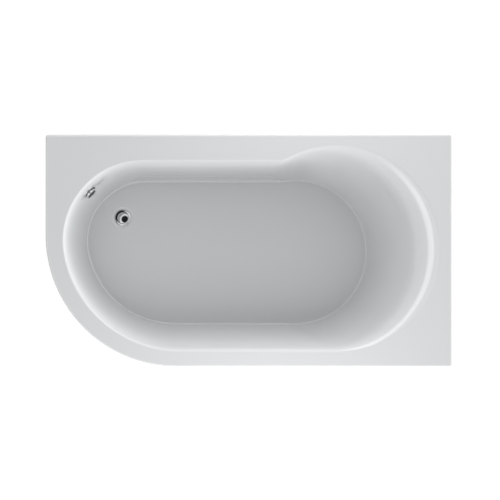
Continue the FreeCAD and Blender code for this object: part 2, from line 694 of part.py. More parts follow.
def waste_flange():
    """The chrome flange: a bevelled ring, the seat, the tail, and the cross that guides the stem."""
    seat_z = FLANGE_TOP_Z - SEAT_DEPTH
    flange = turned([(SEAT_RADIUS, FLANGE_TOP_Z), (FLANGE_RADIUS - FLANGE_BEVEL, FLANGE_TOP_Z),
                     (FLANGE_RADIUS, FLANGE_TOP_Z - FLANGE_BEVEL), (FLANGE_RADIUS, FLANGE_Z),
                     (FLANGE_TAIL_RADIUS, FLANGE_Z), (FLANGE_TAIL_RADIUS, FLANGE_TAIL_Z),
                     (FLANGE_BORE, FLANGE_TAIL_Z), (FLANGE_BORE, seat_z)])
    reach, half = (FLANGE_BORE + FLANGE_TAIL_RADIUS) / 2, SPIDER_BAR / 2
    top = FLANGE_TAIL_Z + SPIDER_BAR
    bars = [block(-reach, reach, -half, half, FLANGE_TAIL_Z, top),
            block(-half, half, -reach, reach, FLANGE_TAIL_Z, top)]
    hub = rod(STEM_RADIUS + STEM_GUIDE_WALL, UP * FLANGE_TAIL_Z, UP, SPIDER_BAR)
    guide = rod(STEM_RADIUS + RUNNING_GAP, UP * (FLANGE_TAIL_Z - OVERRUN), UP, SPIDER_BAR + 2 * OVERRUN)
    return on_waste(flange.fuse(bars[0]).fuse(bars[1]).fuse(hub).cut(guide))


def flange_washer():
    return on_waste(ring(FLANGE_RADIUS - FLANGE_BEVEL, WASTE_HOLE_RADIUS, UP * RECESS_Z, UP, FLANGE_WASHER))


def waste_plug():
    """The domed plug with its coned edge, on its stem."""
    top = seat_radius(FLANGE_TOP_Z) - SEAT_GAP
    foot = seat_radius(PLUG_UNDER_Z) - SEAT_GAP
    crown = FLANGE_TOP_Z + PLUG_CROWN
    dome_radius = (top ** 2 + PLUG_CROWN ** 2) / (2 * PLUG_CROWN)
    midway = crown - dome_radius + math.sqrt(dome_radius ** 2 - (top / 2) ** 2)
    edges = [
        Part.Arc(point(0, 0, crown), point(top / 2, 0, midway), point(top, 0, FLANGE_TOP_Z)).toShape(),
        straight(point(top, 0, FLANGE_TOP_Z), point(foot, 0, PLUG_UNDER_Z)),
        straight(point(foot, 0, PLUG_UNDER_Z), point(0, 0, PLUG_UNDER_Z)),
        straight(point(0, 0, PLUG_UNDER_Z), point(0, 0, crown)),
    ]
    dome = Part.Face(Part.Wire(edges)).revolve(point(0, 0, 0), UP, 360)
    return on_waste(dome.fuse(rod(STEM_RADIUS, UP * STEM_END_Z, UP, STEM_LENGTH)))


def plug_seal():
    outer = FLANGE_BORE - SEAT_GAP
    low = PLUG_UNDER_Z - PLUG_SEAL_THICKNESS
    return on_waste(ring(outer, outer - PLUG_SEAL_WIDTH, UP * low, UP, PLUG_SEAL_THICKNESS))


def waste_seal():
    return on_waste(ring(BODY_FLANGE_RADIUS, WASTE_HOLE_RADIUS, UP * BODY_TOP_Z, UP, SEAL_THICKNESS))


def waste_body():
    """The moulded body: flange, chamber, tail, the overflow's branch, the cable's gland and pin holes."""
    neck, flange_z = FLANGE_TAIL_RADIUS + SEAT_GAP, BODY_TOP_Z - BODY_FLANGE_THICKNESS
    chamber_top, chamber_floor = FLANGE_TAIL_Z - SEAT_GAP, BODY_UNDER_Z + BODY_WALL
    body = on_waste(turned([(0, BODY_TOP_Z), (BODY_FLANGE_RADIUS, BODY_TOP_Z), (BODY_FLANGE_RADIUS, flange_z),
                            (BODY_RADIUS, flange_z), (BODY_RADIUS, BODY_UNDER_Z), (TAIL_RADIUS, BODY_UNDER_Z),
                            (TAIL_RADIUS, TAIL_END_Z), (0, TAIL_END_Z)]))
    branch = rod(HOSE_ROOT_RADIUS, beside_waste(0, 0, BRANCH_Z), OUTWARD, BRANCH_REACH)
    gland = rod(GLAND_RADIUS, beside_waste(0, CABLE_ASIDE, CABLE_Z), OUTWARD, CABLE_END_REACH)
    inside = on_waste(turned([(0, BODY_TOP_Z + OVERRUN), (neck, BODY_TOP_Z + OVERRUN), (neck, chamber_top),
                              (CHAMBER_RADIUS, chamber_top), (CHAMBER_RADIUS, chamber_floor),
                              (TRAP_BORE, chamber_floor), (TRAP_BORE, TAIL_END_Z - OVERRUN),
                              (0, TAIL_END_Z - OVERRUN)]))
    bore = rod(HOSE_BORE, beside_waste(0, 0, BRANCH_Z), OUTWARD, BRANCH_REACH + OVERRUN)
    pin_start = beside_waste(-LEVER_ARM, -BODY_RADIUS, LEVER_Z)
    pin = rod(LEVER_PIN_RADIUS + RUNNING_GAP, pin_start, LATERAL, 2 * BODY_RADIUS)
    return body.fuse(branch).fuse(gland).cut(inside).cut(bore).cut(pin)


def lever_pin():
    start = beside_waste(-LEVER_ARM, -LEVER_PIN_LENGTH / 2, LEVER_Z)
    return rod(LEVER_PIN_RADIUS, start, LATERAL, LEVER_PIN_LENGTH)


def lift_lever():
    """The lever under the stem: a hub on the pin, a web and a rounded tip, dipped while the plug is shut."""
    half = LEVER_WIDTH / 2
    hub = rod(LEVER_HUB_RADIUS, beside_waste(-LEVER_ARM, -half, LEVER_Z), LATERAL, LEVER_WIDTH)
    tip = rod(LEVER_TIP_RADIUS, beside_waste(0, -half, LEVER_Z), LATERAL, LEVER_WIDTH)
    web = Part.makeBox(LEVER_ARM, LEVER_WIDTH, LEVER_WEB, point(0, -half, -LEVER_WEB / 2))
    web.Placement = FreeCAD.Placement(beside_waste(-LEVER_ARM, 0, LEVER_Z),
                                      FreeCAD.Rotation(OUTWARD, UP.cross(OUTWARD), UP, "ZXY"))
    lever = hub.fuse(tip).fuse(web)
    hole_start = beside_waste(-LEVER_ARM, -half - OVERRUN, LEVER_Z)
    lever = lever.cut(rod(LEVER_PIN_RADIUS + RUNNING_GAP, hole_start, LATERAL, LEVER_WIDTH + 2 * OVERRUN))
    lever.rotate(beside_waste(-LEVER_ARM, 0, LEVER_Z), UP.cross(OUTWARD), math.degrees(LEVER_DIP))
    return lever


# Trap

def ribbed_nut(x, y, low, top_bore):
    """A hand nut with grip ribs, bored for the pipe below and for what it screws onto above."""
    radius = TAIL_RADIUS + NUT_WALL
    nut = rod(radius, point(x, y, low), UP, NUT_LENGTH)
    for number in range(NUT_RIB_COUNT):
        angle = 2 * math.pi * number / NUT_RIB_COUNT
        rib_x, rib_y = x + radius * math.cos(angle), y + radius * math.sin(angle)
        nut = nut.fuse(rod(NUT_RIB_RADIUS, point(rib_x, rib_y, low), UP, NUT_LENGTH))
    lower = rod(TRAP_RADIUS + SEAT_GAP, point(x, y, low - OVERRUN), UP, NUT_LENGTH + 2 * OVERRUN)
    upper = rod(top_bore + SEAT_GAP, point(x, y, low + NUT_LENGTH / 2), UP, NUT_LENGTH)
    return nut.cut(lower).cut(upper).removeSplitter()


def trap_far_y():
    return WASTE_Y - 2 * TRAP_BEND_RADIUS


def trap_joint_z():
    return TAIL_END_Z - TRAP_INLET_LENGTH + TRAP_RISE


def trap_u_bend():
    """The trap's U: down from the waste, half a turn towards the front, and up to the outlet."""
    top = WASTE_AXIS + UP * TAIL_END_Z
    bend = top - UP * TRAP_INLET_LENGTH
    bottom = bend - UP * TRAP_BEND_RADIUS - ACROSS * TRAP_BEND_RADIUS
    far = bend - ACROSS * (2 * TRAP_BEND_RADIUS)
    edges = [straight(top, bend), quarter(bend, UP * -1, ACROSS * -1, TRAP_BEND_RADIUS),
             quarter(bottom, ACROSS * -1, UP, TRAP_BEND_RADIUS), straight(far, far + UP * TRAP_RISE)]
    return pipe_along(edges, TRAP_RADIUS, TRAP_BORE)


def trap_outlet():
    """The swivel outlet: up from the U-bend and level to the foot end, with a plain spigot."""
    low = point(WASTE_X, trap_far_y(), trap_joint_z())
    bend = low + UP * TRAP_RISE
    level = bend + UP * OUTLET_BEND_RADIUS - ALONG * OUTLET_BEND_RADIUS
    edges = [straight(low, bend), quarter(bend, UP, ALONG * -1, OUTLET_BEND_RADIUS),
             straight(level, level - ALONG * OUTLET_LENGTH)]
    return pipe_along(edges, TRAP_RADIUS, TRAP_BORE)


def trap_inlet_nut():
    return ribbed_nut(WASTE_X, WASTE_Y, TAIL_END_Z - NUT_LENGTH / 2, TAIL_RADIUS)


def trap_joint_nut():
    return ribbed_nut(WASTE_X, trap_far_y(), trap_joint_z() - NUT_LENGTH / 2, TRAP_RADIUS)


# Overflow

def overflow_gasket():
    """A soft ring, pressed to the curve of the backing on one face and flat on the other."""
    blank = ring(GASKET_RADIUS, OVERFLOW_HOLE_RADIUS, UP * GASKET_BACK, UP, GASKET_THICKNESS + BACKING_OUTER)
    return at_overflow(blank).cut(tub(BACKING_OUTER + SEAT_GAP, 0, FALL_SINK))


def overflow_elbow():
    """The elbow behind the wall: flange, round box, spindle bearing, hose spigot and cable gland."""
    box = rod(ELBOW_RADIUS, UP * ELBOW_BACK, UP, ELBOW_DEPTH)
    flange = rod(GASKET_RADIUS, UP * (GASKET_BACK - ELBOW_FLANGE_THICKNESS), UP, ELBOW_FLANGE_THICKNESS)
    spigot = rod(HOSE_ROOT_RADIUS, SPIGOT_TOP, UP * -1, SPIGOT_LENGTH)
    gland = rod(GLAND_RADIUS, SPIGOT_TOP + LATERAL * CABLE_ASIDE, UP * -1, ELBOW_RADIUS)
    outside = at_overflow(box.fuse(flange)).fuse(spigot).fuse(gland)
    cavity = rod(ELBOW_RADIUS - ELBOW_WALL, UP * (ELBOW_BACK + ELBOW_WALL), UP, ELBOW_DEPTH)
    bore = rod(HOSE_BORE, SPIGOT_TOP, UP * -1, SPIGOT_LENGTH + OVERRUN)
    bearing = ring(SPINDLE_RADIUS + BEARING_WALL, SPINDLE_RADIUS + RUNNING_GAP,
                   UP * (ELBOW_BACK + ELBOW_WALL), UP, BEARING_LENGTH)
    return outside.cut(at_overflow(cavity)).cut(bore).fuse(at_overflow(bearing)).removeSplitter()


def overflow_trim():
    """The chrome ring on the wall, with a collar through the hole and a cross that guides the spindle."""
    disc = rod(TRIM_RADIUS, point(0, 0, 0), UP, TRIM_THICKNESS)
    disc = disc.makeFillet(TRIM_EDGE_RADIUS, rim_of(disc, TRIM_THICKNESS))
    trim = disc.fuse(rod(COLLAR_RADIUS, UP * COLLAR_END, UP, -COLLAR_END))
    through = TRIM_THICKNESS - COLLAR_END + 2 * OVERRUN
    trim = trim.cut(rod(COLLAR_BORE, UP * (COLLAR_END - OVERRUN), UP, through))
    reach, half = (COLLAR_BORE + COLLAR_RADIUS) / 2, SPIDER_BAR / 2
    top = COLLAR_END + SPIDER_BAR
    trim = trim.fuse(block(-reach, reach, -half, half, COLLAR_END, top))
    trim = trim.fuse(rod(SPINDLE_RADIUS + BEARING_WALL, UP * COLLAR_END, UP, SPIDER_BAR))
    guide = rod(SPINDLE_RADIUS + RUNNING_GAP, UP * (COLLAR_END - OVERRUN), UP, SPIDER_BAR + 2 * OVERRUN)
    return at_overflow(trim.cut(guide))


def overflow_knob():
    """The round turn-knob, softened at the front and scalloped for the fingers."""
    knob = rod(KNOB_RADIUS, UP * KNOB_BACK, UP, KNOB_THICKNESS)
    knob = knob.makeFillet(KNOB_EDGE_RADIUS, rim_of(knob, KNOB_BACK + KNOB_THICKNESS))
    out = KNOB_RADIUS + KNOB_SCALLOP_RADIUS - KNOB_SCALLOP_BITE
    for number in range(KNOB_SCALLOP_COUNT):
        angle = 2 * math.pi * number / KNOB_SCALLOP_COUNT
        place = point(out * math.cos(angle), out * math.sin(angle), KNOB_BACK - OVERRUN)
        knob = knob.cut(rod(KNOB_SCALLOP_RADIUS, place, UP, KNOB_THICKNESS + 2 * OVERRUN))
    socket = rod(SPINDLE_RADIUS + RUNNING_GAP, UP * (KNOB_BACK - OVERRUN), UP, SPINDLE_SOCKET + OVERRUN)
    return at_overflow(knob.cut(socket))


def knob_spindle():
    low = ELBOW_BACK + ELBOW_WALL + SEAT_GAP
    return at_overflow(rod(SPINDLE_RADIUS, UP * low, UP, KNOB_BACK + SPINDLE_SOCKET - low))


def cable_drum():
    """The grooved drum on the spindle that winds the cable."""
    low = BEARING_FACE + SEAT_GAP
    third = DRUM_THICKNESS / 3
    bore, floor = SPINDLE_RADIUS + RUNNING_GAP, DRUM_RADIUS - DRUM_GROOVE
    return at_overflow(turned([(bore, low), (DRUM_RADIUS, low), (DRUM_RADIUS, low + third),
                               (floor, low + third), (floor, low + 2 * third), (DRUM_RADIUS, low + 2 * third),
                               (DRUM_RADIUS, low + DRUM_THICKNESS), (bore, low + DRUM_THICKNESS)]))


# Hose and cable

def hose_route():
    """The hose's middle line: down from the elbow, a quarter turn, and level into the waste body."""
    top = beside_waste(HOSE_REACH, 0, SPIGOT_END_Z)
    bend = beside_waste(HOSE_REACH, 0, BRANCH_Z + HOSE_BEND_RADIUS)
    level = beside_waste(HOSE_REACH - HOSE_BEND_RADIUS, 0, BRANCH_Z)
    return [straight(top, bend), quarter(bend, UP * -1, OUTWARD * -1, HOSE_BEND_RADIUS),
            straight(level, beside_waste(BRANCH_REACH, 0, BRANCH_Z))]


def hose_section(distance, radius):
    """A circle round the route at a distance along it, with its X axis level along the wall."""
    drop = SPIGOT_END_Z - BRANCH_Z - HOSE_BEND_RADIUS
    turn = min(max((distance - drop) / HOSE_BEND_RADIUS, 0), math.pi / 2)
    past = distance - drop - HOSE_BEND_RADIUS * math.pi / 2
    reach = HOSE_REACH - HOSE_BEND_RADIUS * (1 - math.cos(turn)) - max(past, 0)
    height = SPIGOT_END_Z - min(distance, drop) - HOSE_BEND_RADIUS * math.sin(turn)
    heading = UP * -math.cos(turn) - OUTWARD * math.sin(turn)
    circle = Part.Wire(Part.makeCircle(radius))
    circle.Placement = FreeCAD.Placement(beside_waste(reach, 0, height),
                                         FreeCAD.Rotation(LATERAL, heading.cross(LATERAL), heading, "ZXY"))
    return circle


def overflow_hose():
    """The ribbed hose: plain cuffs at both ends, evenly spaced ribs between, and a smooth bore."""
    length = sum(e.Length for e in hose_route())
    count = int((length - 2 * HOSE_CUFF_LENGTH) / HOSE_RIB_PITCH)
    pitch = (length - 2 * HOSE_CUFF_LENGTH) / count
    crest = HOSE_ROOT_RADIUS + HOSE_RIB_HEIGHT
    sections = [hose_section(0, HOSE_ROOT_RADIUS)]
    for number in range(count):
        start = HOSE_CUFF_LENGTH + pitch * number
        for share, radius in zip(HOSE_RIB_STEP_SHARES, (HOSE_ROOT_RADIUS, crest, crest, HOSE_ROOT_RADIUS)):
            sections.append(hose_section(start + pitch * share, radius))
    sections.append(hose_section(length, HOSE_ROOT_RADIUS))
    return Part.makeLoft(sections, True, True).cut(bar_along(hose_route(), HOSE_BORE))


def hose_nuts():
    """The nuts that clamp the hose's cuffs to the elbow's spigot and to the waste body's branch."""
    inner, half = HOSE_ROOT_RADIUS + SEAT_GAP, HOSE_NUT_LENGTH / 2
    upper = beside_waste(HOSE_REACH, 0, SPIGOT_END_Z - half)
    lower = beside_waste(BRANCH_REACH - half, 0, BRANCH_Z)
    return group([ring(HOSE_NUT_RADIUS, inner, upper, UP, HOSE_NUT_LENGTH),
                  ring(HOSE_NUT_RADIUS, inner, lower, OUTWARD, HOSE_NUT_LENGTH)])


def pull_cable():
    """The sheathed cable from the elbow's gland to the waste body's gland, held at both."""
    top = beside_waste(HOSE_REACH, CABLE_ASIDE, CABLE_TOP_Z)
    bend = beside_waste(HOSE_REACH, CABLE_ASIDE, CABLE_Z + CABLE_BEND_RADIUS)
    level = beside_waste(HOSE_REACH - CABLE_BEND_RADIUS, CABLE_ASIDE, CABLE_Z)
    return bar_along([straight(top, bend), quarter(bend, UP * -1, OUTWARD * -1, CABLE_BEND_RADIUS),
                      straight(level, beside_waste(CABLE_END_REACH, CABLE_ASIDE, CABLE_Z))], CABLE_RADIUS)


def pieces():
    """Every node of the part, by name."""
    made = {
        "acrylic_shell": acrylic_shell(),
        "glassfibre_backing": glassfibre_backing(),
        "base_board": base_board(),
        "rim_battens": rim_battens(),
        "corner_blocks": corner_blocks(),
        "cross_channel_left": cross_channel(0),
        "cross_channel_right": cross_channel(1),
        "channel_screws": channel_screws(),
        "leg_nuts": leg_nuts(),
        "wall_hanger_back_left": back_hanger(0),
        "wall_hanger_back_right": back_hanger(1),
        "wall_hanger_end": end_hanger(),
        "waste_flange": waste_flange(),
        "flange_washer": flange_washer(),
        "waste_plug": waste_plug(),
        "plug_seal": plug_seal(),
        "waste_seal": waste_seal(),
        "waste_body": waste_body(),
        "lever_pin": lever_pin(),
        "lift_lever": lift_lever(),
        "trap_u_bend": trap_u_bend(),
        "trap_outlet": trap_outlet(),
        "trap_inlet_nut": trap_inlet_nut(),
        "trap_joint_nut": trap_joint_nut(),
        "overflow_gasket": overflow_gasket(),
        "overflow_elbow": overflow_elbow(),
        "overflow_trim": overflow_trim(),
        "overflow_knob": overflow_knob(),
        "knob_spindle": knob_spindle(),
        "cable_drum": cable_drum(),
        "overflow_hose": overflow_hose(),
        "hose_nuts": hose_nuts(),
        "pull_cable": pull_cable(),
    }
    for corner, side, way in CORNERS:
        made["leg_rod_" + corner] = leg_rod(side, way)
        made["leg_foot_" + corner] = leg_foot(side, way)
        made["leg_pad_" + corner] = leg_pad(side, way)
    return made


def main():
    os.makedirs("parts", exist_ok=True)
    for name, shape in pieces().items():
        print(name, len(shape.Solids), "valid" if shape.isValid() else "INVALID", round(shape.Volume))
        shape.exportStep("parts/" + name + ".step")


main()
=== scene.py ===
"""A shower bath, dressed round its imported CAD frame, in metres and in the same axes."""
import json
import math

import bmesh
import bpy
import numpy as np
from mathutils import Matrix, Vector


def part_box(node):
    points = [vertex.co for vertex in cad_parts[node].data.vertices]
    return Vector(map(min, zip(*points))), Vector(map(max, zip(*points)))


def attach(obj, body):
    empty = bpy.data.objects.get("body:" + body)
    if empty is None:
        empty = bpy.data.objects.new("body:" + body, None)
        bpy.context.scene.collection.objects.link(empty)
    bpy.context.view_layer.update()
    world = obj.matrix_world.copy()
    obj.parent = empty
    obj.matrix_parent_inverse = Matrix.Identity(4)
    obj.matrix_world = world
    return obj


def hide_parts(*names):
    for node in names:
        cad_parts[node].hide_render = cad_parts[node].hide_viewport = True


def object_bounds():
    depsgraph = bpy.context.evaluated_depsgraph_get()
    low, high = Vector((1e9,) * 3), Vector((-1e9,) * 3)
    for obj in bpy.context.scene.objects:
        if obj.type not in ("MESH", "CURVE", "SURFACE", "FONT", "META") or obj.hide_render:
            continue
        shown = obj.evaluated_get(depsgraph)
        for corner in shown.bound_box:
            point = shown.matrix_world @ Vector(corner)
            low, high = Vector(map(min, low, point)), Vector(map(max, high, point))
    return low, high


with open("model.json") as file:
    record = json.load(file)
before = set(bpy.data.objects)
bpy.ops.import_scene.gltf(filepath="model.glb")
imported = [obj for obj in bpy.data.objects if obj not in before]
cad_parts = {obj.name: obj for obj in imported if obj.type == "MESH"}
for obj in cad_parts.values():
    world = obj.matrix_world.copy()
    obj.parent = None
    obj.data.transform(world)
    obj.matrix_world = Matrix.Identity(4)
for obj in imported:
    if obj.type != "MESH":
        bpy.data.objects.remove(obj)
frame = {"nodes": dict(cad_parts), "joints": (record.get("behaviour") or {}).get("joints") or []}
cad_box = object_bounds()
cad = frame["nodes"]


# Acrylic shell. The bath itself is one sheet of cast white acrylic, heated and drawn down into a
# mould, then trimmed along the lip and drilled for the waste and the overflow. It is glossy with a
# faint ripple, and its colour is painted greyer towards the floor as painted shade, to come near the
# photograph's greys.
RIM_LENGTH, RIM_WIDTH, LIP_DROP = 1.700, 0.970, 0.040
FREE_CORNER, WALL_CORNER, RIM_EDGE, BASIN_EDGE = 0.550, 0.012, 0.008, 0.008
ACRYLIC, LIP_BEVEL, SUPPORT = 0.005, 0.0008, 0.002
BASIN_DEPTH, WALL_DEPTH, EDGE_DROP, KNEE_WEIGHT, FLOOR_CORNER = 0.424, 0.430, 0.018, 1.25, 0.007
KNEES = np.array([0.40, 0.476, 0.502, 0.461])
FLOOR_FALL = math.tan(math.radians(0.3))
WASTE_HOLE, RECESS, RECESS_DEPTH, RECESS_SLOPE = 0.0265, 0.040, 0.0025, 0.009
OVERFLOW_HOLE, OVERFLOW_LAND, LAND_BLEND, DRILL_REACH = 0.024, 0.036, 0.010, 0.03
BACK_ARC, FRONT_ARC = 0.42, 0.618
CORNER_LIFT, WALL_FOOT, WALL_TOP, WALL_LOOPS, LEAN_STEP, EDGE_STEP = 0.003, 0.018, 0.06, 54, 0.03, 0.01

# The mesh's loops: radii round the waste, shares of the rest of the floor, and steps down the wall
FACE_RINGS = (WASTE_HOLE, 0.031, 0.036, 0.0395, 0.041, 0.0425, 0.044, 0.0455, 0.047, 0.0485, 0.050, 0.058)
FACE_SHARES = (0.2, 0.4, 0.6, 0.8, 0.94, 1.0)
BACK_RINGS, BACK_SHARES = (WASTE_HOLE, RECESS, 0.052), (0.3, 0.6, 0.85, 1.0)
BACK_STEPS = (0.97, 0.94, 0.9, 0.85, 0.8, 0.7, 0.6, 0.5, 0.4, 0.3, 0.2, 0.1, 0.04)
OUTLINE_POINTS, RIM_POINTS = (84, 12, 136, 100, 96, 100, 112), (40, 10, 24, 10, 28, 72, 12, 10)
LEAN_PROBE, LEAST_RUN = 0.001, 1e-4

LEFT, RIGHT, FRONT, BACK = -RIM_LENGTH / 2, RIM_LENGTH / 2, -RIM_WIDTH / 2, RIM_WIDTH / 2
RIM_Z = cad_box[1][2]
LIP_Z, FLOOR_Z = RIM_Z - LIP_DROP, RIM_Z - BASIN_DEPTH
WASTE = np.array(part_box("waste_seal")).mean(0)[:2]

# A level of the basin is its left, back, front and right side, its crease radius and its bulge
RIM_LEVEL = np.array([LEFT + 0.074, BACK - 0.107, FRONT + 0.064, RIGHT - 0.051, 0.030, 0.061])
LINE_LEVEL = RIM_LEVEL + np.array([0.0536, -0.0690, 0.0937, -0.2773, 0.370, -0.058])
turn = next(j for j in frame["joints"] if j["name"] == "knob_turn")
INWARD = Vector(turn["axis"]).normalized()
ALONG_WALL = Vector((0, 0, 1)).cross(INWARD).normalized()
OVERFLOW = Matrix.Translation(turn["pos_m"]) @ Matrix(
    (ALONG_WALL, INWARD.cross(ALONG_WALL), INWARD)).transposed().to_4x4()


def knee(step, weight):
    """Shares of the middle and the end point of a conic, at a step from 0 to 1."""
    total = (1 - step) ** 2 + 2 * weight * step * (1 - step) + step ** 2
    return 2 * weight * step * (1 - step) / total, step ** 2 / total


def wall_level(step):
    """The wall's level at a step down from the rim, and its depth under the rim."""
    middle, end = knee(step, KNEE_WEIGHT)
    left, back, front, right = middle * KNEES + end
    shares = np.array([left, back, front, right, right, back])
    return RIM_LEVEL + (LINE_LEVEL - RIM_LEVEL) * shares, middle * EDGE_DROP + end * WALL_DEPTH


def wall_step(depth):
    """The step at which the wall is at a depth under the rim."""
    low, high = 0.0, 1.0
    for _ in range(40):
        middle = (low + high) / 2
        low, high = (middle, high) if wall_level(middle)[1] < depth else (low, middle)
    return low


def wall_lean(step):
    """The front wall's tilt from level at a step."""
    first, high = wall_level(max(step - LEAN_PROBE, 0.0))
    last, low = wall_level(min(step + LEAN_PROBE, 1.0))
    return math.atan2(low - high, last[2] - first[2])


def run(start, end, normal, count):
    """Points along a straight side, without its last, and the side's outward normals."""
    share = np.arange(count)[:, None] / count
    return np.array(start) * (1 - share) + np.array(end) * share, np.tile(normal, (count, 1))


def arc(centre, radius, first, last, count, way=1):
    """Points along an arc, without its last, and its outward normals."""
    angle = np.radians(first + (last - first) * np.arange(count) / count)
    spoke = np.stack([np.cos(angle), np.sin(angle)], 1)
    return np.array(centre) + radius * spoke, way * spoke


def basin_outline(level, spread=0.0):
    """A level's closed outline, widened by spread, with its outward normals."""
    left, back, front, right, crease, bulge = level
    small = (back - front) * BACK_ARC
    small_x, small_y = left + small, back - small
    large = (back - front) * FRONT_ARC + spread
    small, back, front, crease = small + spread, back + spread, front - spread, crease - spread
    circle = (back + bulge - front) / 2
    circle_x, circle_y = right + spread - circle, front + circle
    crease_x = circle_x - math.sqrt(bulge * (2 * (circle + crease) - bulge))
    crease_y = back + crease
    meet = math.degrees(math.atan2(circle_y - crease_y, circle_x - crease_x))
    large_y = front + large
    large_x = small_x + math.sqrt((large - small) ** 2 - (small_y - large_y) ** 2)
    join = math.degrees(math.atan2(small_y - large_y, small_x - large_x))
    join = join - 360 if join > 0 else join
    counts = OUTLINE_POINTS
    sides = [
        run((small_x, back), (crease_x, back), (0, 1), counts[0]),
        arc((crease_x, crease_y), crease, -90, meet, counts[1], -1),
        arc((circle_x, circle_y), circle, meet + 180, 0, counts[2]),
        arc((circle_x, circle_y), circle, 0, -90, counts[3]),
        run((circle_x, front), (large_x, front), (0, -1), counts[4]),
        arc((large_x, large_y), large, -90, join, counts[5]),
        arc((small_x, small_y), small, join, -270, counts[6]),
    ]
    return np.concatenate([s[0] for s in sides]), np.concatenate([s[1] for s in sides])


def rim_outline(inset):
    """The rim's outline, drawn in by an inset: square at the two walls, round at the free corner."""
    left, right, back, front = LEFT + inset, RIGHT - inset, BACK - inset, FRONT + inset
    corner, free, counts = WALL_CORNER - inset, FREE_CORNER - inset, RIM_POINTS
    sides = [
        run((left + corner, back), (right - corner, back), (0, 1), counts[0]),
        arc((right - corner, back - corner), corner, 90, 0, counts[1]),
        run((right, back - corner), (right, front + corner), (1, 0), counts[2]),
        arc((right - corner, front + corner), corner, 0, -90, counts[3]),
        run((right - corner, front), (left + free, front), (0, -1), counts[4]),
        arc((left + free, front + free), free, -90, -180, counts[5]),
        run((left, front + free), (left, back - corner), (-1, 0), counts[6]),
        arc((left + corner, back - corner), corner, 180, 90, counts[7]),
    ]
    return np.concatenate([s[0] for s in sides])


def lifted(outline, z):
    """An outline as points in space, at one height or at a height for each."""
    return np.column_stack([outline, np.broadcast_to(z, len(outline))])


def placed(name, data):
    """A new object in the scene."""
    made = bpy.data.objects.new(name, data)
    bpy.context.scene.collection.objects.link(made)
    return made


def settled(name, mesh, sharp):
    """A mesh as a finished object, with its faces outwards, smooth but for its sharp edges."""
    body = bmesh.new()
    body.from_mesh(mesh)
    bmesh.ops.recalc_face_normals(body, faces=body.faces[:])
    body.to_mesh(mesh)
    body.free()
    mesh.shade_smooth()
    mesh.set_sharp_from_angle(angle=math.radians(sharp))
    return placed(name, mesh)


def evaluated(piece):
    """A piece's mesh, with its modifiers applied."""
    bpy.context.view_layer.update()
    graph = bpy.context.evaluated_depsgraph_get()
    return bpy.data.meshes.new_from_object(piece.evaluated_get(graph))


class Skin:
    """A mesh that is laid up loop by loop."""

    def __init__(self):
        self.points, self.faces, self.count = [], [], 0

    def loop(self, points):
        self.points.append(points)
        self.count += len(points)
        return list(range(self.count - len(points), self.count))

    def strip(self, first, second):
        for n in range(len(first)):
            m = (n + 1) % len(first)
            self.faces.append((first[n], first[m], second[m], second[n]))

    def lay(self, loops):
        """Adds loops of equal counts, one after another, and returns the first and the last."""
        laid = [self.loop(points) for points in loops]
        for first, second in zip(laid, laid[1:]):
            self.strip(first, second)
        return laid[0], laid[-1]

    def fill(self, *loops):
        """Fills the flat ground between loops with triangles."""
        ground = bmesh.new()
        points = np.concatenate(self.points)
        for loop in loops:
            corners = [ground.verts.new(points[i]) for i in loop]
            for n, corner in enumerate(corners):
                ground.edges.new((corners[n - 1], corner))
        ground.verts.index_update()
        bmesh.ops.triangle_fill(ground, use_beauty=True, edges=ground.edges[:])
        order = [i for loop in loops for i in loop]
        self.faces += [tuple(order[v.index] for v in f.verts) for f in ground.faces]
        ground.free()

    def made(self, name, finish, sharp=40):
        """The finished object."""
        mesh = bpy.data.meshes.new(name)
        mesh.from_pydata(np.concatenate(self.points).tolist(), [], self.faces)
        mesh.materials.append(finish)
        return settled(name, mesh, sharp)


def on_floor(outline, z, fall=FLOOR_FALL):
    """An outline on the floor, which falls towards the waste."""
    return lifted(outline, z + (outline[:, 0] - WASTE[0]) * fall)


def rings(edge, near, far):
    """Outlines from round the waste hole out to an edge, on the lines between them."""
    rays = edge - WASTE
    length = np.hypot(*rays.T)[:, None]
    outlines = [WASTE + rays / length * away for away in near]
    return outlines + [WASTE + rays / length * (near[-1] + (length - near[-1]) * share) for share in far]


def let_down(points):
    """Sinks the floor to a level recess round the waste."""
    away = np.hypot(points[:, 0] - WASTE[0], points[:, 1] - WASTE[1])
    share = np.clip((RECESS + RECESS_SLOPE - away) / RECESS_SLOPE, 0, 1)
    share = share * share * (3 - 2 * share)
    points[:, 2] = points[:, 2] * (1 - share) + (FLOOR_Z - RECESS_DEPTH) * share
    return points


CORNER_STEP = wall_step(BASIN_DEPTH - CORNER_LIFT)


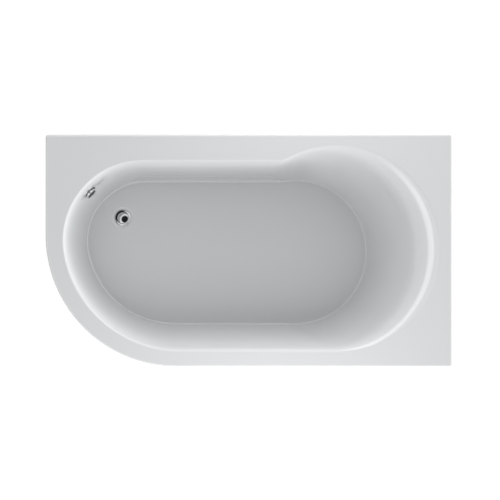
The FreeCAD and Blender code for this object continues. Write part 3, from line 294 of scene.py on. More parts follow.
def inner_face():
    """The face that shows: floor, tight corner, wall and the softened edge of the basin."""
    level, depth = wall_level(CORNER_STEP)
    above, depth_above = wall_level(CORNER_STEP - LEAN_STEP)
    line, outward = basin_outline(level)
    lean = np.arctan2(depth - depth_above, ((basin_outline(above)[0] - line) * outward).sum(1))
    tangent = FLOOR_CORNER * np.tan(lean / 2)
    edge = line - outward * tangent[:, None]
    loops = [let_down(on_floor(ring, FLOOR_Z)) for ring in rings(edge, FACE_RINGS, FACE_SHARES)]
    for share in np.linspace(0.1, 1, 9):
        outline = line + outward * (FLOOR_CORNER * np.sin(lean * share) - tangent)[:, None]
        loops.append(on_floor(outline, FLOOR_Z + FLOOR_CORNER * (1 - np.cos(lean * share))))
    for step in np.linspace(wall_step(BASIN_DEPTH - WALL_FOOT), WALL_TOP, WALL_LOOPS):
        level, depth = wall_level(step)
        loops.append(lifted(basin_outline(level)[0], RIM_Z - depth))
    rim, outward = basin_outline(RIM_LEVEL)
    level, depth = wall_level(EDGE_STEP)
    lean = np.arctan2(depth, np.maximum(((rim - basin_outline(level)[0]) * outward).sum(1), LEAST_RUN))
    reach = BASIN_EDGE * np.tan(lean / 2)
    for share in np.linspace(1, 0, 7):
        spread = reach - BASIN_EDGE * np.sin(lean * share)
        loops.append(lifted(rim + outward * spread[:, None], RIM_Z - BASIN_EDGE * (1 - np.cos(lean * share))))
    loops.append(lifted(rim + outward * (reach + SUPPORT)[:, None], RIM_Z))
    return loops


def land(loops):
    """Flattens the wall under the overflow's trim, easing out to the wall round it."""
    back = np.array(OVERFLOW.inverted())
    there = np.array(OVERFLOW)
    for points in loops:
        local = np.column_stack([points, np.ones(len(points))]) @ back.T
        away = np.hypot(local[:, 0], local[:, 1])
        share = np.clip((OVERFLOW_LAND + LAND_BLEND - away) / LAND_BLEND, 0, 1)
        share = share * share * (3 - 2 * share) * (np.abs(local[:, 2]) < OVERFLOW_LAND)
        local[:, 2] *= 1 - share
        points[:] = (local @ there.T)[:, :3]
    return loops


def outer_face(thickness, under_z, fall):
    """The tub's back, a thickness behind its face, from the waste hole up to the deck."""
    edge, _ = basin_outline(wall_level(CORNER_STEP)[0], thickness)
    loops = [on_floor(ring, under_z, fall) for ring in rings(edge, BACK_RINGS, BACK_SHARES)]
    for step in BACK_STEPS:
        level, depth = wall_level(step)
        outline, _ = basin_outline(level, thickness * math.sin(wall_lean(step)))
        loops.append(lifted(outline, RIM_Z - depth - thickness))
    outline, normal = basin_outline(RIM_LEVEL)
    loops.append(lifted(outline + normal * SUPPORT, RIM_Z - thickness))
    return loops


def add(tree, kind, settings=None, **inputs):
    """A node with its settings, and its inputs set or linked by name."""
    made = tree.nodes.new(kind)
    for key, value in (settings or {}).items():
        setattr(made, key, value)
    for key, value in inputs.items():
        socket = made.inputs[key.replace("_", " ")]
        if isinstance(value, bpy.types.NodeSocket):
            tree.links.new(value, socket)
        else:
            socket.default_value = value
    return made


def finish(name, roughness, metallic=0.0):
    """A new material: its tree, its shader and the object's own coordinates."""
    made = bpy.data.materials.new(name)
    made.use_nodes = True
    tree = made.node_tree
    shader = tree.nodes["Principled BSDF"]
    shader.inputs["Roughness"].default_value = roughness
    shader.inputs["Metallic"].default_value = metallic
    return made, tree, shader, add(tree, "ShaderNodeTexCoord").outputs["Object"]


def ramp(tree, factor, *stops):
    """A colour ramp through (position, grey or colour) stops."""
    made = add(tree, "ShaderNodeValToRGB", Fac=factor)
    while len(made.color_ramp.elements) < len(stops):
        made.color_ramp.elements.new(1.0)
    for element, (position, colour) in zip(made.color_ramp.elements, stops):
        element.position = position
        element.color = (*colour, 1) if isinstance(colour, tuple) else (colour, colour, colour, 1)
    return made.outputs["Color"]


def feed(shader, name, factor, *stops):
    """Drives one input of a shader by a ramp."""
    tree = shader.id_data
    tree.links.new(ramp(tree, factor, *stops), shader.inputs[name])


def bump(shader, height, strength, distance):
    """Roughens a shader's face by a height."""
    tree = shader.id_data
    made = add(tree, "ShaderNodeBump", Strength=strength, Distance=distance, Height=height)
    tree.links.new(made.outputs["Normal"], shader.inputs["Normal"])


def noise(tree, place, scale, detail, **more):
    """A noise over a place, from 0 to 1."""
    return add(tree, "ShaderNodeTexNoise", Vector=place, Scale=scale, Detail=detail, **more).outputs["Fac"]


def reckon(tree, operation, *values):
    """The result of a sum in a node tree, of one, two or three values."""
    made = add(tree, "ShaderNodeMath", {"operation": operation})
    for socket, value in zip(made.inputs, values):
        if isinstance(value, bpy.types.NodeSocket):
            tree.links.new(value, socket)
        else:
            socket.default_value = value
    return made.outputs["Value"]


acrylic, tree, shader, place = finish("gloss_white_acrylic", 0.06)
cloud = noise(tree, place, 3.0, 3.0)
# Painted shade: the base colour darkens with lower height in the basin, standing in for its shade, with a
# faint random mottle on top.
height = add(tree, "ShaderNodeSeparateXYZ", Vector=place).outputs["Z"]
mottle_and_painted_depth_shade = reckon(tree, "MULTIPLY_ADD", cloud, 0.05, height)
feed(shader, "Base Color", mottle_and_painted_depth_shade, (0.2, (0.690, 0.698, 0.708)), (0.6, (0.755, 0.763, 0.772)))
feed(shader, "Roughness", cloud, (0.3, 0.05), (0.7, 0.075))
bump(shader, noise(tree, place, 45.0, 1.0), 0.05, 0.0003)
shader.inputs["IOR"].default_value = 1.49
shader.inputs["Coat Weight"].default_value = 1.0
shader.inputs["Coat Roughness"].default_value = 0.03
shader.inputs["Coat IOR"].default_value = 1.5

skin = Skin()
face_hole, face_rim = skin.lay(land(inner_face()))
turns = np.linspace(0, math.pi / 2, 8)
lip = [lifted(rim_outline(RIM_EDGE + SUPPORT), RIM_Z)]
lip += [lifted(rim_outline(RIM_EDGE * (1 - math.sin(a))), RIM_Z - RIM_EDGE * (1 - math.cos(a)))
        for a in turns]
lip += [lifted(rim_outline(0), LIP_Z + LIP_BEVEL), lifted(rim_outline(LIP_BEVEL), LIP_Z)]
lip += [lifted(rim_outline(ACRYLIC - LIP_BEVEL), LIP_Z), lifted(rim_outline(ACRYLIC), LIP_Z + LIP_BEVEL)]
lip += [lifted(rim_outline(ACRYLIC), RIM_Z - RIM_EDGE), lifted(rim_outline(RIM_EDGE), RIM_Z - ACRYLIC)]
deck_edge, under_edge = skin.lay(lip)
back_hole, back_rim = skin.lay(outer_face(ACRYLIC, FLOOR_Z - ACRYLIC, FLOOR_FALL))
skin.fill(face_rim, deck_edge)
skin.fill(back_rim, under_edge)
skin.strip(face_hole, back_hole)
shell = skin.made("acrylic_bath", acrylic)


def cut_out(piece, tool):
    """Cuts a tool's shape out of a piece, and puts the tool away."""
    mesh = bpy.data.meshes.new("tool")
    tool.to_mesh(mesh)
    tool.free()
    cutter = placed("tool", mesh)
    cut = piece.modifiers.new("cut", "BOOLEAN")
    cut.operation, cut.solver, cut.object = "DIFFERENCE", "EXACT", cutter
    piece.data = evaluated(piece)
    piece.modifiers.remove(cut)
    bpy.data.objects.remove(cutter)


def drilled(piece):
    """Drills the overflow's round hole through a wall."""
    drill = bmesh.new()
    bmesh.ops.create_cone(drill, cap_ends=True, segments=64, radius1=OVERFLOW_HOLE, radius2=OVERFLOW_HOLE,
                          depth=2 * DRILL_REACH)
    drill.transform(OVERFLOW)
    cut_out(piece, drill)


drilled(shell)
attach(shell, "bath")
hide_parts("acrylic_shell")


# Glass-fibre backing. Chopped strands and resin are sprayed on the back of the warm acrylic and
# rolled down by hand, so the underside is cream, rough and thick with short crossing fibres.
GLASSFIBRE_FROM, GLASSFIBRE_TO = 0.0053, 0.0093
STRAND, STRAND_SHIFT = (0.036, 0.0024, 0.0024), 1.7
glassfibre, tree, shader, place = finish("sprayed_glass_fibre", 0.5)
matted = None
for number, (tilt, angle) in enumerate(((0.1, 0.3), (1.4, 0.5), (0.75, 1.0), (-0.8, 2.2), (0.2, 1.8))):
    turned = add(tree, "ShaderNodeMapping", {"vector_type": "TEXTURE"}, Vector=place, Scale=STRAND,
                 Rotation=(0, tilt, angle), Location=(number * STRAND_SHIFT, 0, 0)).outputs["Vector"]
    strand = noise(tree, turned, 1.0, 2.0)
    matted = strand if matted is None else reckon(tree, "MAXIMUM", matted, strand)
resin = noise(tree, place, 14.0, 5.0)
tint = ramp(tree, matted, (0.53, (0.60, 0.56, 0.44)), (0.65, (0.74, 0.71, 0.60)), (0.78, (0.83, 0.81, 0.73)))
blotch = add(tree, "ShaderNodeMix", {"data_type": "RGBA", "blend_type": "MULTIPLY"})
blotch.inputs[0].default_value = 0.6
tree.links.new(tint, blotch.inputs[6])
tree.links.new(ramp(tree, resin, (0.35, 0.78), (0.65, 1.0)), blotch.inputs[7])
tree.links.new(blotch.outputs[2], shader.inputs["Base Color"])
feed(shader, "Roughness", resin, (0.3, 0.35), (0.7, 0.62))
bump(shader, matted, 0.8, 0.0012)

skin = Skin()
inside_hole, inside_rim = skin.lay(outer_face(GLASSFIBRE_FROM, FLOOR_Z - GLASSFIBRE_FROM, FLOOR_FALL))
edge_loops = [lifted(rim_outline(RIM_EDGE), RIM_Z - GLASSFIBRE_FROM),
              lifted(rim_outline(GLASSFIBRE_FROM), RIM_Z - RIM_EDGE),
              lifted(rim_outline(GLASSFIBRE_FROM), RIM_Z - GLASSFIBRE_TO)]
deck_top, deck_under = skin.lay(edge_loops)
outside_hole, outside_rim = skin.lay(outer_face(GLASSFIBRE_TO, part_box("glassfibre_backing")[0][2], 0.0))
skin.fill(inside_rim, deck_top)
skin.fill(outside_rim, deck_under)
skin.strip(inside_hole, outside_hole)
backing = skin.made("glass_fibre_backing", glassfibre)
drilled(backing)
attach(backing, "bath")
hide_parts("glassfibre_backing")


# Base board. A sheet of raw chipboard, bonded under the floor with resin and sawn with rounded
# corners, which stiffens the floor and takes the channels' screws.
def solids(body):
    """The separate solids of a mesh, each as a set of vertices."""
    waiting = set(body.verts)
    while waiting:
        solid, growing = set(), [waiting.pop()]
        while growing:
            here = growing.pop()
            solid.add(here)
            growing += {e.other_vert(here) for e in here.link_edges} - solid
        waiting -= solid
        yield solid


def softened(name, nodes, bevel, finish):
    """A copy of CAD nodes with its sharp edges bevelled, and each solid's own coordinates as grain."""
    body = bmesh.new()
    for node in nodes:
        body.from_mesh(cad[node].data)
    bmesh.ops.remove_doubles(body, verts=body.verts[:], dist=1e-6)
    bmesh.ops.dissolve_limit(body, angle_limit=math.radians(2), verts=body.verts[:], edges=body.edges[:])
    sharp = [e for e in body.edges if len(e.link_faces) == 2 and e.calc_face_angle() > math.radians(30)]
    bmesh.ops.bevel(body, geom=sharp, offset=bevel, offset_type="OFFSET", segments=2, profile=0.5,
                    affect="EDGES", clamp_overlap=True)
    grain = body.verts.layers.float_vector.new("grain")
    for number, solid in enumerate(solids(body)):
        order = np.argsort(-np.ptp(np.array([v.co for v in solid]), axis=0))
        for v in solid:
            v[grain] = Vector([v.co[i] for i in order]) + Vector((0, number, 0))
    mesh = bpy.data.meshes.new(name)
    body.to_mesh(mesh)
    body.free()
    mesh.shade_smooth()
    mesh.set_sharp_from_angle(angle=math.radians(35))
    mesh.materials.append(finish)
    made = placed(name, mesh)
    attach(made, "bath")
    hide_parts(*nodes)
    return made


chipboard, tree, shader, place = finish("raw_chipboard", 0.75)
flakes = add(tree, "ShaderNodeMapping", Vector=place, Scale=(170.0, 260.0, 420.0), Rotation=(0.3, 0.2, 0.4))
chips = add(tree, "ShaderNodeTexVoronoi", Vector=flakes.outputs["Vector"], Scale=1.0, Randomness=1.0)
shade = add(tree, "ShaderNodeSeparateXYZ", Vector=chips.outputs["Color"]).outputs["X"]
feed(shader, "Base Color", shade, (0.0, (0.36, 0.25, 0.14)), (0.45, (0.55, 0.41, 0.25)),
     (1.0, (0.70, 0.57, 0.39)))
bump(shader, chips.outputs["Distance"], 0.35, 0.0006)
board = softened("chipboard_base", ["base_board"], 0.0008, chipboard)


# Battens and corner blocks. Strips and triangles of planed softwood, glassed to the underside of the
# deck, each with its grain along its length.
timber, tree, shader, _ = finish("planed_softwood", 0.6)
grain = add(tree, "ShaderNodeAttribute", {"attribute_name": "grain"}).outputs["Vector"]
along = add(tree, "ShaderNodeMapping", Vector=grain, Scale=(2.5, 60.0, 60.0)).outputs["Vector"]
year_rings = noise(tree, along, 1.0, 4.0, Distortion=0.6)
fine = add(tree, "ShaderNodeMapping", Vector=grain, Scale=(60.0, 1500.0, 1500.0)).outputs["Vector"]
pores = noise(tree, fine, 1.0, 2.0)
feed(shader, "Base Color", year_rings, (0.35, (0.66, 0.49, 0.29)), (0.5, (0.58, 0.40, 0.21)),
     (0.62, (0.71, 0.55, 0.35)))
feed(shader, "Roughness", pores, (0.3, 0.5), (0.7, 0.72))
bump(shader, pores, 0.25, 0.0003)
strips = softened("softwood_strips", ["rim_battens", "corner_blocks"], 0.0012, timber)


# Cross channels and wall hangers. Pressed from hot-dip galvanised strip, so the zinc shows its
# spangle: flat crystals, each with its own grey. The channels are screwed up to the board, and the
# hangers to the wall.
galvanised, tree, shader, place = finish("galvanised_steel", 0.4, 0.9)
spangle = add(tree, "ShaderNodeTexVoronoi", Vector=place, Scale=130.0)
shade = add(tree, "ShaderNodeSeparateXYZ", Vector=spangle.outputs["Color"]).outputs["X"]
feed(shader, "Base Color", shade, (0.0, (0.44, 0.46, 0.48)), (1.0, (0.64, 0.66, 0.68)))
feed(shader, "Roughness", shade, (0.0, 0.3), (1.0, 0.5))
bump(shader, shade, 0.06, 0.0004)
for name, nodes in (
        ("galvanised_channels", ["cross_channel_left", "cross_channel_right"]),
        ("galvanised_hangers", ["wall_hanger_back_left", "wall_hanger_back_right", "wall_hanger_end"])):
    softened(name, nodes, 0.0005, galvanised)


# Channel screws. Zinc-plated pan heads with a cross recess, driven up through each channel into the
# board; one screw is lathed and recessed, and Geometry Nodes set it out at each hole.
SCREW_RADIUS, SCREW_HEAD, HEAD_THICKNESS, SCREW_LENGTH = 0.00225, 0.0045, 0.003, 0.015
RECESS_WIDTH, RECESS_SPAN, RECESS_SINK = 0.0009, 0.0044, 0.0014
zinc, tree, shader, place = finish("zinc_plate", 0.32, 1.0)
cloud = noise(tree, place, 180.0, 3.0)
feed(shader, "Base Color", cloud, (0.3, (0.58, 0.58, 0.55)), (0.7, (0.70, 0.70, 0.67)))
feed(shader, "Roughness", cloud, (0.3, 0.25), (0.7, 0.42))


def circle(radius, z, count=64):
    """A level loop of points about the Z axis."""
    angle = np.arange(count) * 2 * math.pi / count
    return np.column_stack([radius * np.cos(angle), radius * np.sin(angle), np.full(count, z)])


def lathed(skin, profile, place=Matrix(), closed=False, count=64):
    """Turns a profile of radii and heights about an axis; an open profile is capped at both ends."""
    there = np.array(place)
    loops = [np.column_stack([circle(r, z, count), np.ones(count)]) @ there.T for r, z in profile]
    first, last = skin.lay([points[:, :3] for points in loops])
    if closed:
        skin.strip(last, first)
    else:
        skin.faces += [tuple(reversed(first)), tuple(last)]


def realised(tree, geometry, finish):
    """The end of every tree here: real geometry, with its finish set."""
    real = add(tree, "GeometryNodeRealizeInstances", Geometry=geometry).outputs["Geometry"]
    return add(tree, "GeometryNodeSetMaterial", Geometry=real, Material=finish).outputs["Geometry"]


def new_tree(name, result, **inputs):
    """A Geometry Nodes tree with its inputs and its one result, and the sockets of its inputs."""
    tree = bpy.data.node_groups.new(name, "GeometryNodeTree")
    for label, kind in inputs.items():
        tree.interface.new_socket(label, in_out="INPUT", socket_type="NodeSocket" + kind)
    tree.interface.new_socket(result, in_out="OUTPUT", socket_type="NodeSocketGeometry")
    return tree, add(tree, "NodeGroupInput").outputs


def copies(name, piece, places, finish):
    """Copies of a piece, set out at places by Geometry Nodes and joined in one mesh."""
    tree, given = new_tree(name, "Copies", Places="Geometry", Piece="Object", Finish="Material")
    shape = add(tree, "GeometryNodeObjectInfo", Object=given["Piece"]).outputs["Geometry"]
    held = add(tree, "GeometryNodeInstanceOnPoints", Points=given["Places"], Instance=shape)
    add(tree, "NodeGroupOutput", Copies=realised(tree, held.outputs["Instances"], given["Finish"]))
    spots = bpy.data.meshes.new(name + "_places")
    spots.from_pydata(places, [], [])
    made = grown(name, tree, spots, Piece=piece, Finish=finish)
    bpy.data.objects.remove(piece)
    return made


def grown(name, tree, base, **settings):
    """What a Geometry Nodes tree grows from a base, as a finished object."""
    source = placed(name + "_base", base)
    rule = source.modifiers.new(name, "NODES")
    rule.node_group = tree
    for socket in tree.interface.items_tree:
        if socket.in_out == "INPUT" and socket.name in settings:
            rule[socket.identifier] = settings[socket.name]
    mesh = evaluated(source)
    bpy.data.objects.remove(source)
    return settled(name, mesh, 40)


def centres(node):
    """The foot of each separate solid of a CAD node, on its own axis."""
    body = bmesh.new()
    body.from_mesh(cad[node].data)
    bmesh.ops.remove_doubles(body, verts=body.verts[:], dist=1e-6)
    found = []
    for solid in solids(body):
        places = np.array([v.co for v in solid])
        found.append((*(places.min(0) + places.max(0))[:2] / 2, places[:, 2].min()))
    body.free()
    return found


skin = Skin()
lathed(skin, [(0.0005, 0.0), (0.0022, 0.0), (0.0036, 0.0004), (0.0043, 0.0011), (SCREW_HEAD, 0.0018),
              (SCREW_HEAD, HEAD_THICKNESS - 0.0002), (SCREW_HEAD - 0.0002, HEAD_THICKNESS),
              (SCREW_RADIUS, HEAD_THICKNESS), (SCREW_RADIUS, HEAD_THICKNESS + SCREW_LENGTH - 0.003),
              (0.0004, HEAD_THICKNESS + SCREW_LENGTH)], count=32)
screw = skin.made("pan_head_screw", zinc)
for wide, long in ((RECESS_WIDTH, RECESS_SPAN), (RECESS_SPAN, RECESS_WIDTH)):
    bit = bmesh.new()
    bmesh.ops.create_cube(bit, size=1.0, matrix=Matrix.Diagonal((wide, long, 2 * RECESS_SINK, 1)))
    cut_out(screw, bit)
screws = copies("channel_screw_set", screw, centres("channel_screws"), zinc)
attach(screws, "bath")
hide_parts("channel_screws")


# Threaded leg rods. M12 studding, rolled and zinc plated: a core with chamfered ends, and a ridge
# that Geometry Nodes wind round it. A rod turns in its nuts to set its leg's height.
ROD_RADIUS, THREAD_PITCH, THREAD_HEIGHT, ROD_CHAMFER, TURN_POINTS = 0.006, 0.00175, 0.0010, 0.001, 28
thread, given = new_tree("thread", "Rod", Core="Geometry", Turns="Float", Height="Float", Radius="Float",
                         Ridge="Float", Foot="Vector", Finish="Material")
spiral = add(thread, "GeometryNodeCurveSpiral", Resolution=TURN_POINTS, Rotations=given["Turns"],
             Start_Radius=given["Radius"], End_Radius=given["Radius"],
             Height=given["Height"]).outputs["Curve"]
upright = add(thread, "GeometryNodeSetCurveNormal", {"mode": "Z_UP"}, Curve=spiral).outputs["Curve"]
ridge = add(thread, "GeometryNodeCurvePrimitiveCircle", Resolution=4, Radius=given["Ridge"]).outputs["Curve"]
swept = add(thread, "GeometryNodeCurveToMesh", Curve=upright, Profile_Curve=ridge,
            Fill_Caps=True).outputs["Mesh"]
stood = add(thread, "GeometryNodeTransform", Geometry=swept, Translation=given["Foot"]).outputs["Geometry"]
whole = add(thread, "GeometryNodeJoinGeometry")
thread.links.new(stood, whole.inputs["Geometry"])
thread.links.new(given["Core"], whole.inputs["Geometry"])
add(thread, "NodeGroupOutput", Rod=realised(thread, whole.outputs["Geometry"], given["Finish"]))
CORNERS = ("back_left", "front_left", "back_right", "front_right")
for corner in CORNERS:
    low, high = (np.array(c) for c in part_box("leg_rod_" + corner))
    middle, length = (low + high) / 2, high[2] - low[2]
    core = ROD_RADIUS - THREAD_HEIGHT
    skin = Skin()
    lathed(skin, [(core - ROD_CHAMFER, 0), (core, ROD_CHAMFER), (core, length - ROD_CHAMFER),
                  (core - ROD_CHAMFER, length)], Matrix.Translation((middle[0], middle[1], low[2])), count=28)
    blank = skin.made("rod_core_" + corner, zinc)
    run_length = length - 2 * THREAD_PITCH
    rod = grown("threaded_rod_" + corner, thread, blank.data, Turns=run_length / THREAD_PITCH,
                Height=run_length, Radius=core, Ridge=THREAD_HEIGHT,
                Foot=(middle[0], middle[1], low[2] + THREAD_PITCH), Finish=zinc)
    bpy.data.objects.remove(blank)
    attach(rod, "leg_" + corner)
    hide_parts("leg_rod_" + corner)


# Leg nuts. Plain M12 hexagons with chamfered corners, one above and one below the channel on every
# leg, which lock it. One nut is made and Geometry Nodes set it out.
NUT_FLAT, NUT_THICKNESS, NUT_BEVEL, NUT_GAP = 0.0095, 0.010, 0.0006, 0.00005
NUT_FACE, NUT_CHAMFER_SLOPE = NUT_FLAT * 0.97, math.tan(math.radians(30))
angle = np.arange(72) * 2 * math.pi / 72
hexagon = NUT_FLAT / np.cos((angle + math.pi / 6) % (math.pi / 3) - math.pi / 6)
chamfer = (hexagon - NUT_FACE) * NUT_CHAMFER_SLOPE
spoke = np.column_stack([np.cos(angle), np.sin(angle)])
bore = ROD_RADIUS + NUT_GAP
loops = [lifted(spoke * (bore + NUT_BEVEL), 0.0), lifted(spoke * NUT_FACE, 0.0),
         lifted(spoke * hexagon[:, None], chamfer), lifted(spoke * hexagon[:, None], NUT_THICKNESS - chamfer),
         lifted(spoke * NUT_FACE, NUT_THICKNESS), lifted(spoke * (bore + NUT_BEVEL), NUT_THICKNESS),
         lifted(spoke * bore, NUT_THICKNESS - NUT_BEVEL), lifted(spoke * bore, NUT_BEVEL)]
skin = Skin()
first, last = skin.lay(loops)
skin.strip(last, first)
nuts = copies("leg_nut_set", skin.made("leg_nut", zinc, 25), centres("leg_nuts"), zinc)
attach(nuts, "bath")
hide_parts("leg_nuts")


# Feet and pads. Each foot is moulded in black nylon with a socket for its rod, and stands on a pad
# of black rubber that is glued into it. Their CAD solids are right as they are.
def moulded(name, dark, light, roughness, grain=900.0, depth=0.00006):
    """A moulded finish: a slightly uneven tone, with the fine texture of the tool's face."""
    made, tree, shader, place = finish(name, roughness)
    fine = noise(tree, place, grain, 2.0)
    feed(shader, "Base Color", noise(tree, place, 22.0, 3.0), (0.3, dark), (0.7, light))
    feed(shader, "Roughness", fine, (0.3, roughness * 0.85), (0.7, min(roughness * 1.15, 1)))
    bump(shader, fine, 0.4, depth)
    return made


def dress(finish, *nodes):
    """Gives carried-over CAD nodes their finish."""
    for node in nodes:
        for held in cad[node].material_slots:
            held.material = finish


nylon = moulded("black_nylon", (0.026, 0.026, 0.028), (0.034, 0.034, 0.036), 0.45)
rubber = moulded("black_rubber", (0.020, 0.020, 0.021), (0.030, 0.030, 0.031), 0.8, 400.0, 0.00012)
dress(nylon, *("leg_foot_" + corner for corner in CORNERS))
dress(rubber, *("leg_pad_" + corner for corner in CORNERS))


# Waste flange. A dished ring of chromed brass, pulled down on the floor's recess by its tail, with a
# cross at the foot of the tail that guides the plug's stem. Rubber seals it above and below the floor.
FLANGE_RADIUS, SEAT_RADIUS, FLANGE_TAIL, FLANGE_BORE = 0.036, 0.0255, 0.025, 0.0215
FLANGE_THICKNESS, FLANGE_EDGE, DISH, SEAT_DEPTH, TAIL_LENGTH = 0.003, 0.0010, 0.0016, 0.007, 0.027
BAR, STEM_RADIUS, STEM_GUIDE, STEM_GAP, BAR_ROOT, BAR_SINK = 0.004, 0.003, 0.003, 0.00005, 0.001, 0.0001
UNDER_RISE, UNDER_BEVEL, TAIL_BEVEL = 0.0002, 0.0003, 0.0005
chrome, tree, shader, place = finish("polished_chrome", 0.05, 1.0)
smear = noise(tree, place, 60.0, 3.0)
feed(shader, "Base Color", smear, (0.3, (0.60, 0.61, 0.62)), (0.7, (0.65, 0.66, 0.67)))
feed(shader, "Roughness", smear, (0.35, 0.03), (0.75, 0.09))
flange_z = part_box("waste_flange")[1][2] - FLANGE_THICKNESS
top = flange_z + FLANGE_THICKNESS
drain = Matrix.Translation((*WASTE, 0))
tail_z = flange_z - TAIL_LENGTH
dish = [(SEAT_RADIUS, top - DISH), (SEAT_RADIUS + 0.004, top - DISH * 0.9),
        (FLANGE_RADIUS - 0.0045, top - DISH * 0.45)]
edge = [(FLANGE_RADIUS - FLANGE_EDGE * (1 - math.sin(a)), top - FLANGE_EDGE * (1 - math.cos(a)))
        for a in np.linspace(-0.9, math.pi / 2, 10)]
edge += [(FLANGE_RADIUS, flange_z + UNDER_RISE), (FLANGE_RADIUS - UNDER_BEVEL, flange_z)]
tail = [(FLANGE_TAIL, flange_z), (FLANGE_TAIL, tail_z + TAIL_BEVEL), (FLANGE_TAIL - TAIL_BEVEL, tail_z),
        (FLANGE_BORE + TAIL_BEVEL, tail_z), (FLANGE_BORE, tail_z + TAIL_BEVEL),
        (FLANGE_BORE, top - SEAT_DEPTH)]
skin = Skin()
lathed(skin, dish + edge + tail, drain, closed=True, count=128)
stem_hole, guide = STEM_RADIUS + STEM_GAP, STEM_RADIUS + STEM_GUIDE
lathed(skin, [(stem_hole, tail_z), (guide, tail_z), (guide, tail_z + BAR), (stem_hole, tail_z + BAR)],
       drain, closed=True)
root, reach = STEM_RADIUS + BAR_ROOT, (FLANGE_BORE + FLANGE_TAIL) / 2
for way in range(4):
    spin = np.array(Matrix.Rotation(way * math.pi / 2, 2))
    foot = np.array([(root, -BAR / 2), (reach, -BAR / 2), (reach, BAR / 2), (root, BAR / 2)])
    foot = foot @ spin.T + WASTE
    low, high = skin.lay([lifted(foot, tail_z + BAR_SINK), lifted(foot, tail_z + BAR - BAR_SINK)])
    skin.faces += [tuple(reversed(low)), tuple(high)]
flange = skin.made("chrome_waste_flange", chrome, 30)
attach(flange, "bath")
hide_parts("waste_flange")
dress(rubber, "flange_washer", "waste_seal")


# Pop-up plug. A chromed dome with a coned edge that drops into the flange's seat, on a stem that the
# lever lifts. A rubber ring under it makes the seal.
PLUG_THICKNESS, PLUG_CROWN, STEM_LENGTH, PLUG_EDGE = 0.006, 0.004, 0.040, 0.0006
PLUG_GAP, PLUG_BEVEL, STEM_BEVEL = 0.0003, 0.0003, 0.0006
plug_top = SEAT_RADIUS - PLUG_GAP
plug_foot = SEAT_RADIUS + (FLANGE_BORE - SEAT_RADIUS) * PLUG_THICKNESS / SEAT_DEPTH - PLUG_GAP
ball = (plug_top ** 2 + PLUG_CROWN ** 2) / (2 * PLUG_CROWN)
dome = [(r, top + PLUG_CROWN - ball + math.sqrt(ball ** 2 - r ** 2))
        for r in np.linspace(0.0002, plug_top - PLUG_EDGE, 26)]
under = top - PLUG_THICKNESS
edge = [(plug_top - PLUG_EDGE * 0.3, top - PLUG_EDGE * 0.25), (plug_top - PLUG_EDGE * 0.15, top - PLUG_EDGE),
        (plug_foot, under + PLUG_BEVEL), (plug_foot - PLUG_BEVEL, under)]
stem = [(STEM_RADIUS, under), (STEM_RADIUS, under - STEM_LENGTH + STEM_BEVEL),
        (STEM_RADIUS - STEM_BEVEL, under - STEM_LENGTH)]
skin = Skin()
lathed(skin, dome + edge + stem, drain, count=128)
plug = skin.made("chrome_plug", chrome, 35)
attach(plug, "plug")
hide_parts("waste_plug")
dress(rubber, "plug_seal")


# Waste body, lever and trap. Moulded in white polypropylene and joined by ribbed grey hand nuts. The
# lever turns on a brass pin inside the body. Their CAD solids are right as they are.
polypropylene = moulded("white_polypropylene", (0.76, 0.76, 0.75), (0.82, 0.82, 0.81), 0.4)
grey_nylon = moulded("grey_nylon", (0.145, 0.15, 0.155), (0.17, 0.175, 0.18), 0.5)
brass, tree, shader, place = finish("turned_brass", 0.25, 1.0)
cuts = noise(tree, place, 500.0, 2.0)
feed(shader, "Base Color", cuts, (0.3, (0.66, 0.49, 0.22)), (0.7, (0.76, 0.59, 0.30)))
feed(shader, "Roughness", cuts, (0.3, 0.18), (0.7, 0.34))
dress(polypropylene, "waste_body", "lift_lever", "trap_u_bend", "trap_outlet")
dress(grey_nylon, "trap_inlet_nut", "trap_joint_nut")
dress(brass, "lever_pin")


# Overflow. A rubber gasket and a white elbow behind the wall, and a chromed ring in front that screws
# through the hole and carries the spindle in its cross.
dress(rubber, "overflow_gasket")
dress(polypropylene, "overflow_elbow")
dress(chrome, "overflow_trim")


# Overflow knob. A chromed turn-knob with finger scallops and a softened front, with a black cap let
# into its face as a painted dark reflection on the front, on a brass spindle. The drum on the spindle winds
# the cable that lifts the plug.
KNOB_RADIUS, KNOB_BACK, KNOB_THICKNESS, KNOB_EDGE = 0.024, 0.0056, 0.010, 0.0026
SCALLOPS, SCALLOP_BITE, SCALLOP_FADE, KNOB_HOLLOW, HOLLOW_SHARE = 8, 0.0012, 6, 0.0008, 0.85
SPINDLE_SEAT, KNOB_BEVEL, KNOB_POINTS = 0.00405, 0.0004, 192
CAP_RADIUS, CAP_BULGE, CAP_SINK, CAP_SKIRT = 0.0205, 0.0032, 0.0006, 0.0010
angle = np.arange(KNOB_POINTS) * 2 * math.pi / KNOB_POINTS
bite = SCALLOP_BITE * (0.5 + 0.5 * np.cos(angle * SCALLOPS)) ** 2
spoke = np.column_stack([np.cos(angle), np.sin(angle)])
front = KNOB_BACK + KNOB_THICKNESS
profile = [(SPINDLE_SEAT, KNOB_BACK), (KNOB_RADIUS - KNOB_BEVEL, KNOB_BACK),
           (KNOB_RADIUS, KNOB_BACK + KNOB_BEVEL)]
profile += [(KNOB_RADIUS - KNOB_EDGE * (1 - math.cos(a)), front - KNOB_EDGE * (1 - math.sin(a)))
            for a in np.linspace(0, math.pi / 2, 10)]
profile += [(KNOB_RADIUS * share, front - KNOB_HOLLOW * (1 - (share / HOLLOW_SHARE) ** 2))
            for share in (HOLLOW_SHARE, 0.7, 0.5, 0.3, 0.1, 0.01)]
skin = Skin()
loops = []
for radius, z in profile:
    loop = lifted(spoke * (radius - bite * (radius / KNOB_RADIUS) ** SCALLOP_FADE)[:, None], z)
    loops.append((np.column_stack([loop, np.ones(len(loop))]) @ np.array(OVERFLOW).T)[:, :3])
first, last = skin.lay(loops)
skin.faces += [tuple(reversed(first)), tuple(last)]
knob = skin.made("chrome_overflow_knob", chrome, 40)
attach(knob, "knob")
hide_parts("overflow_knob")
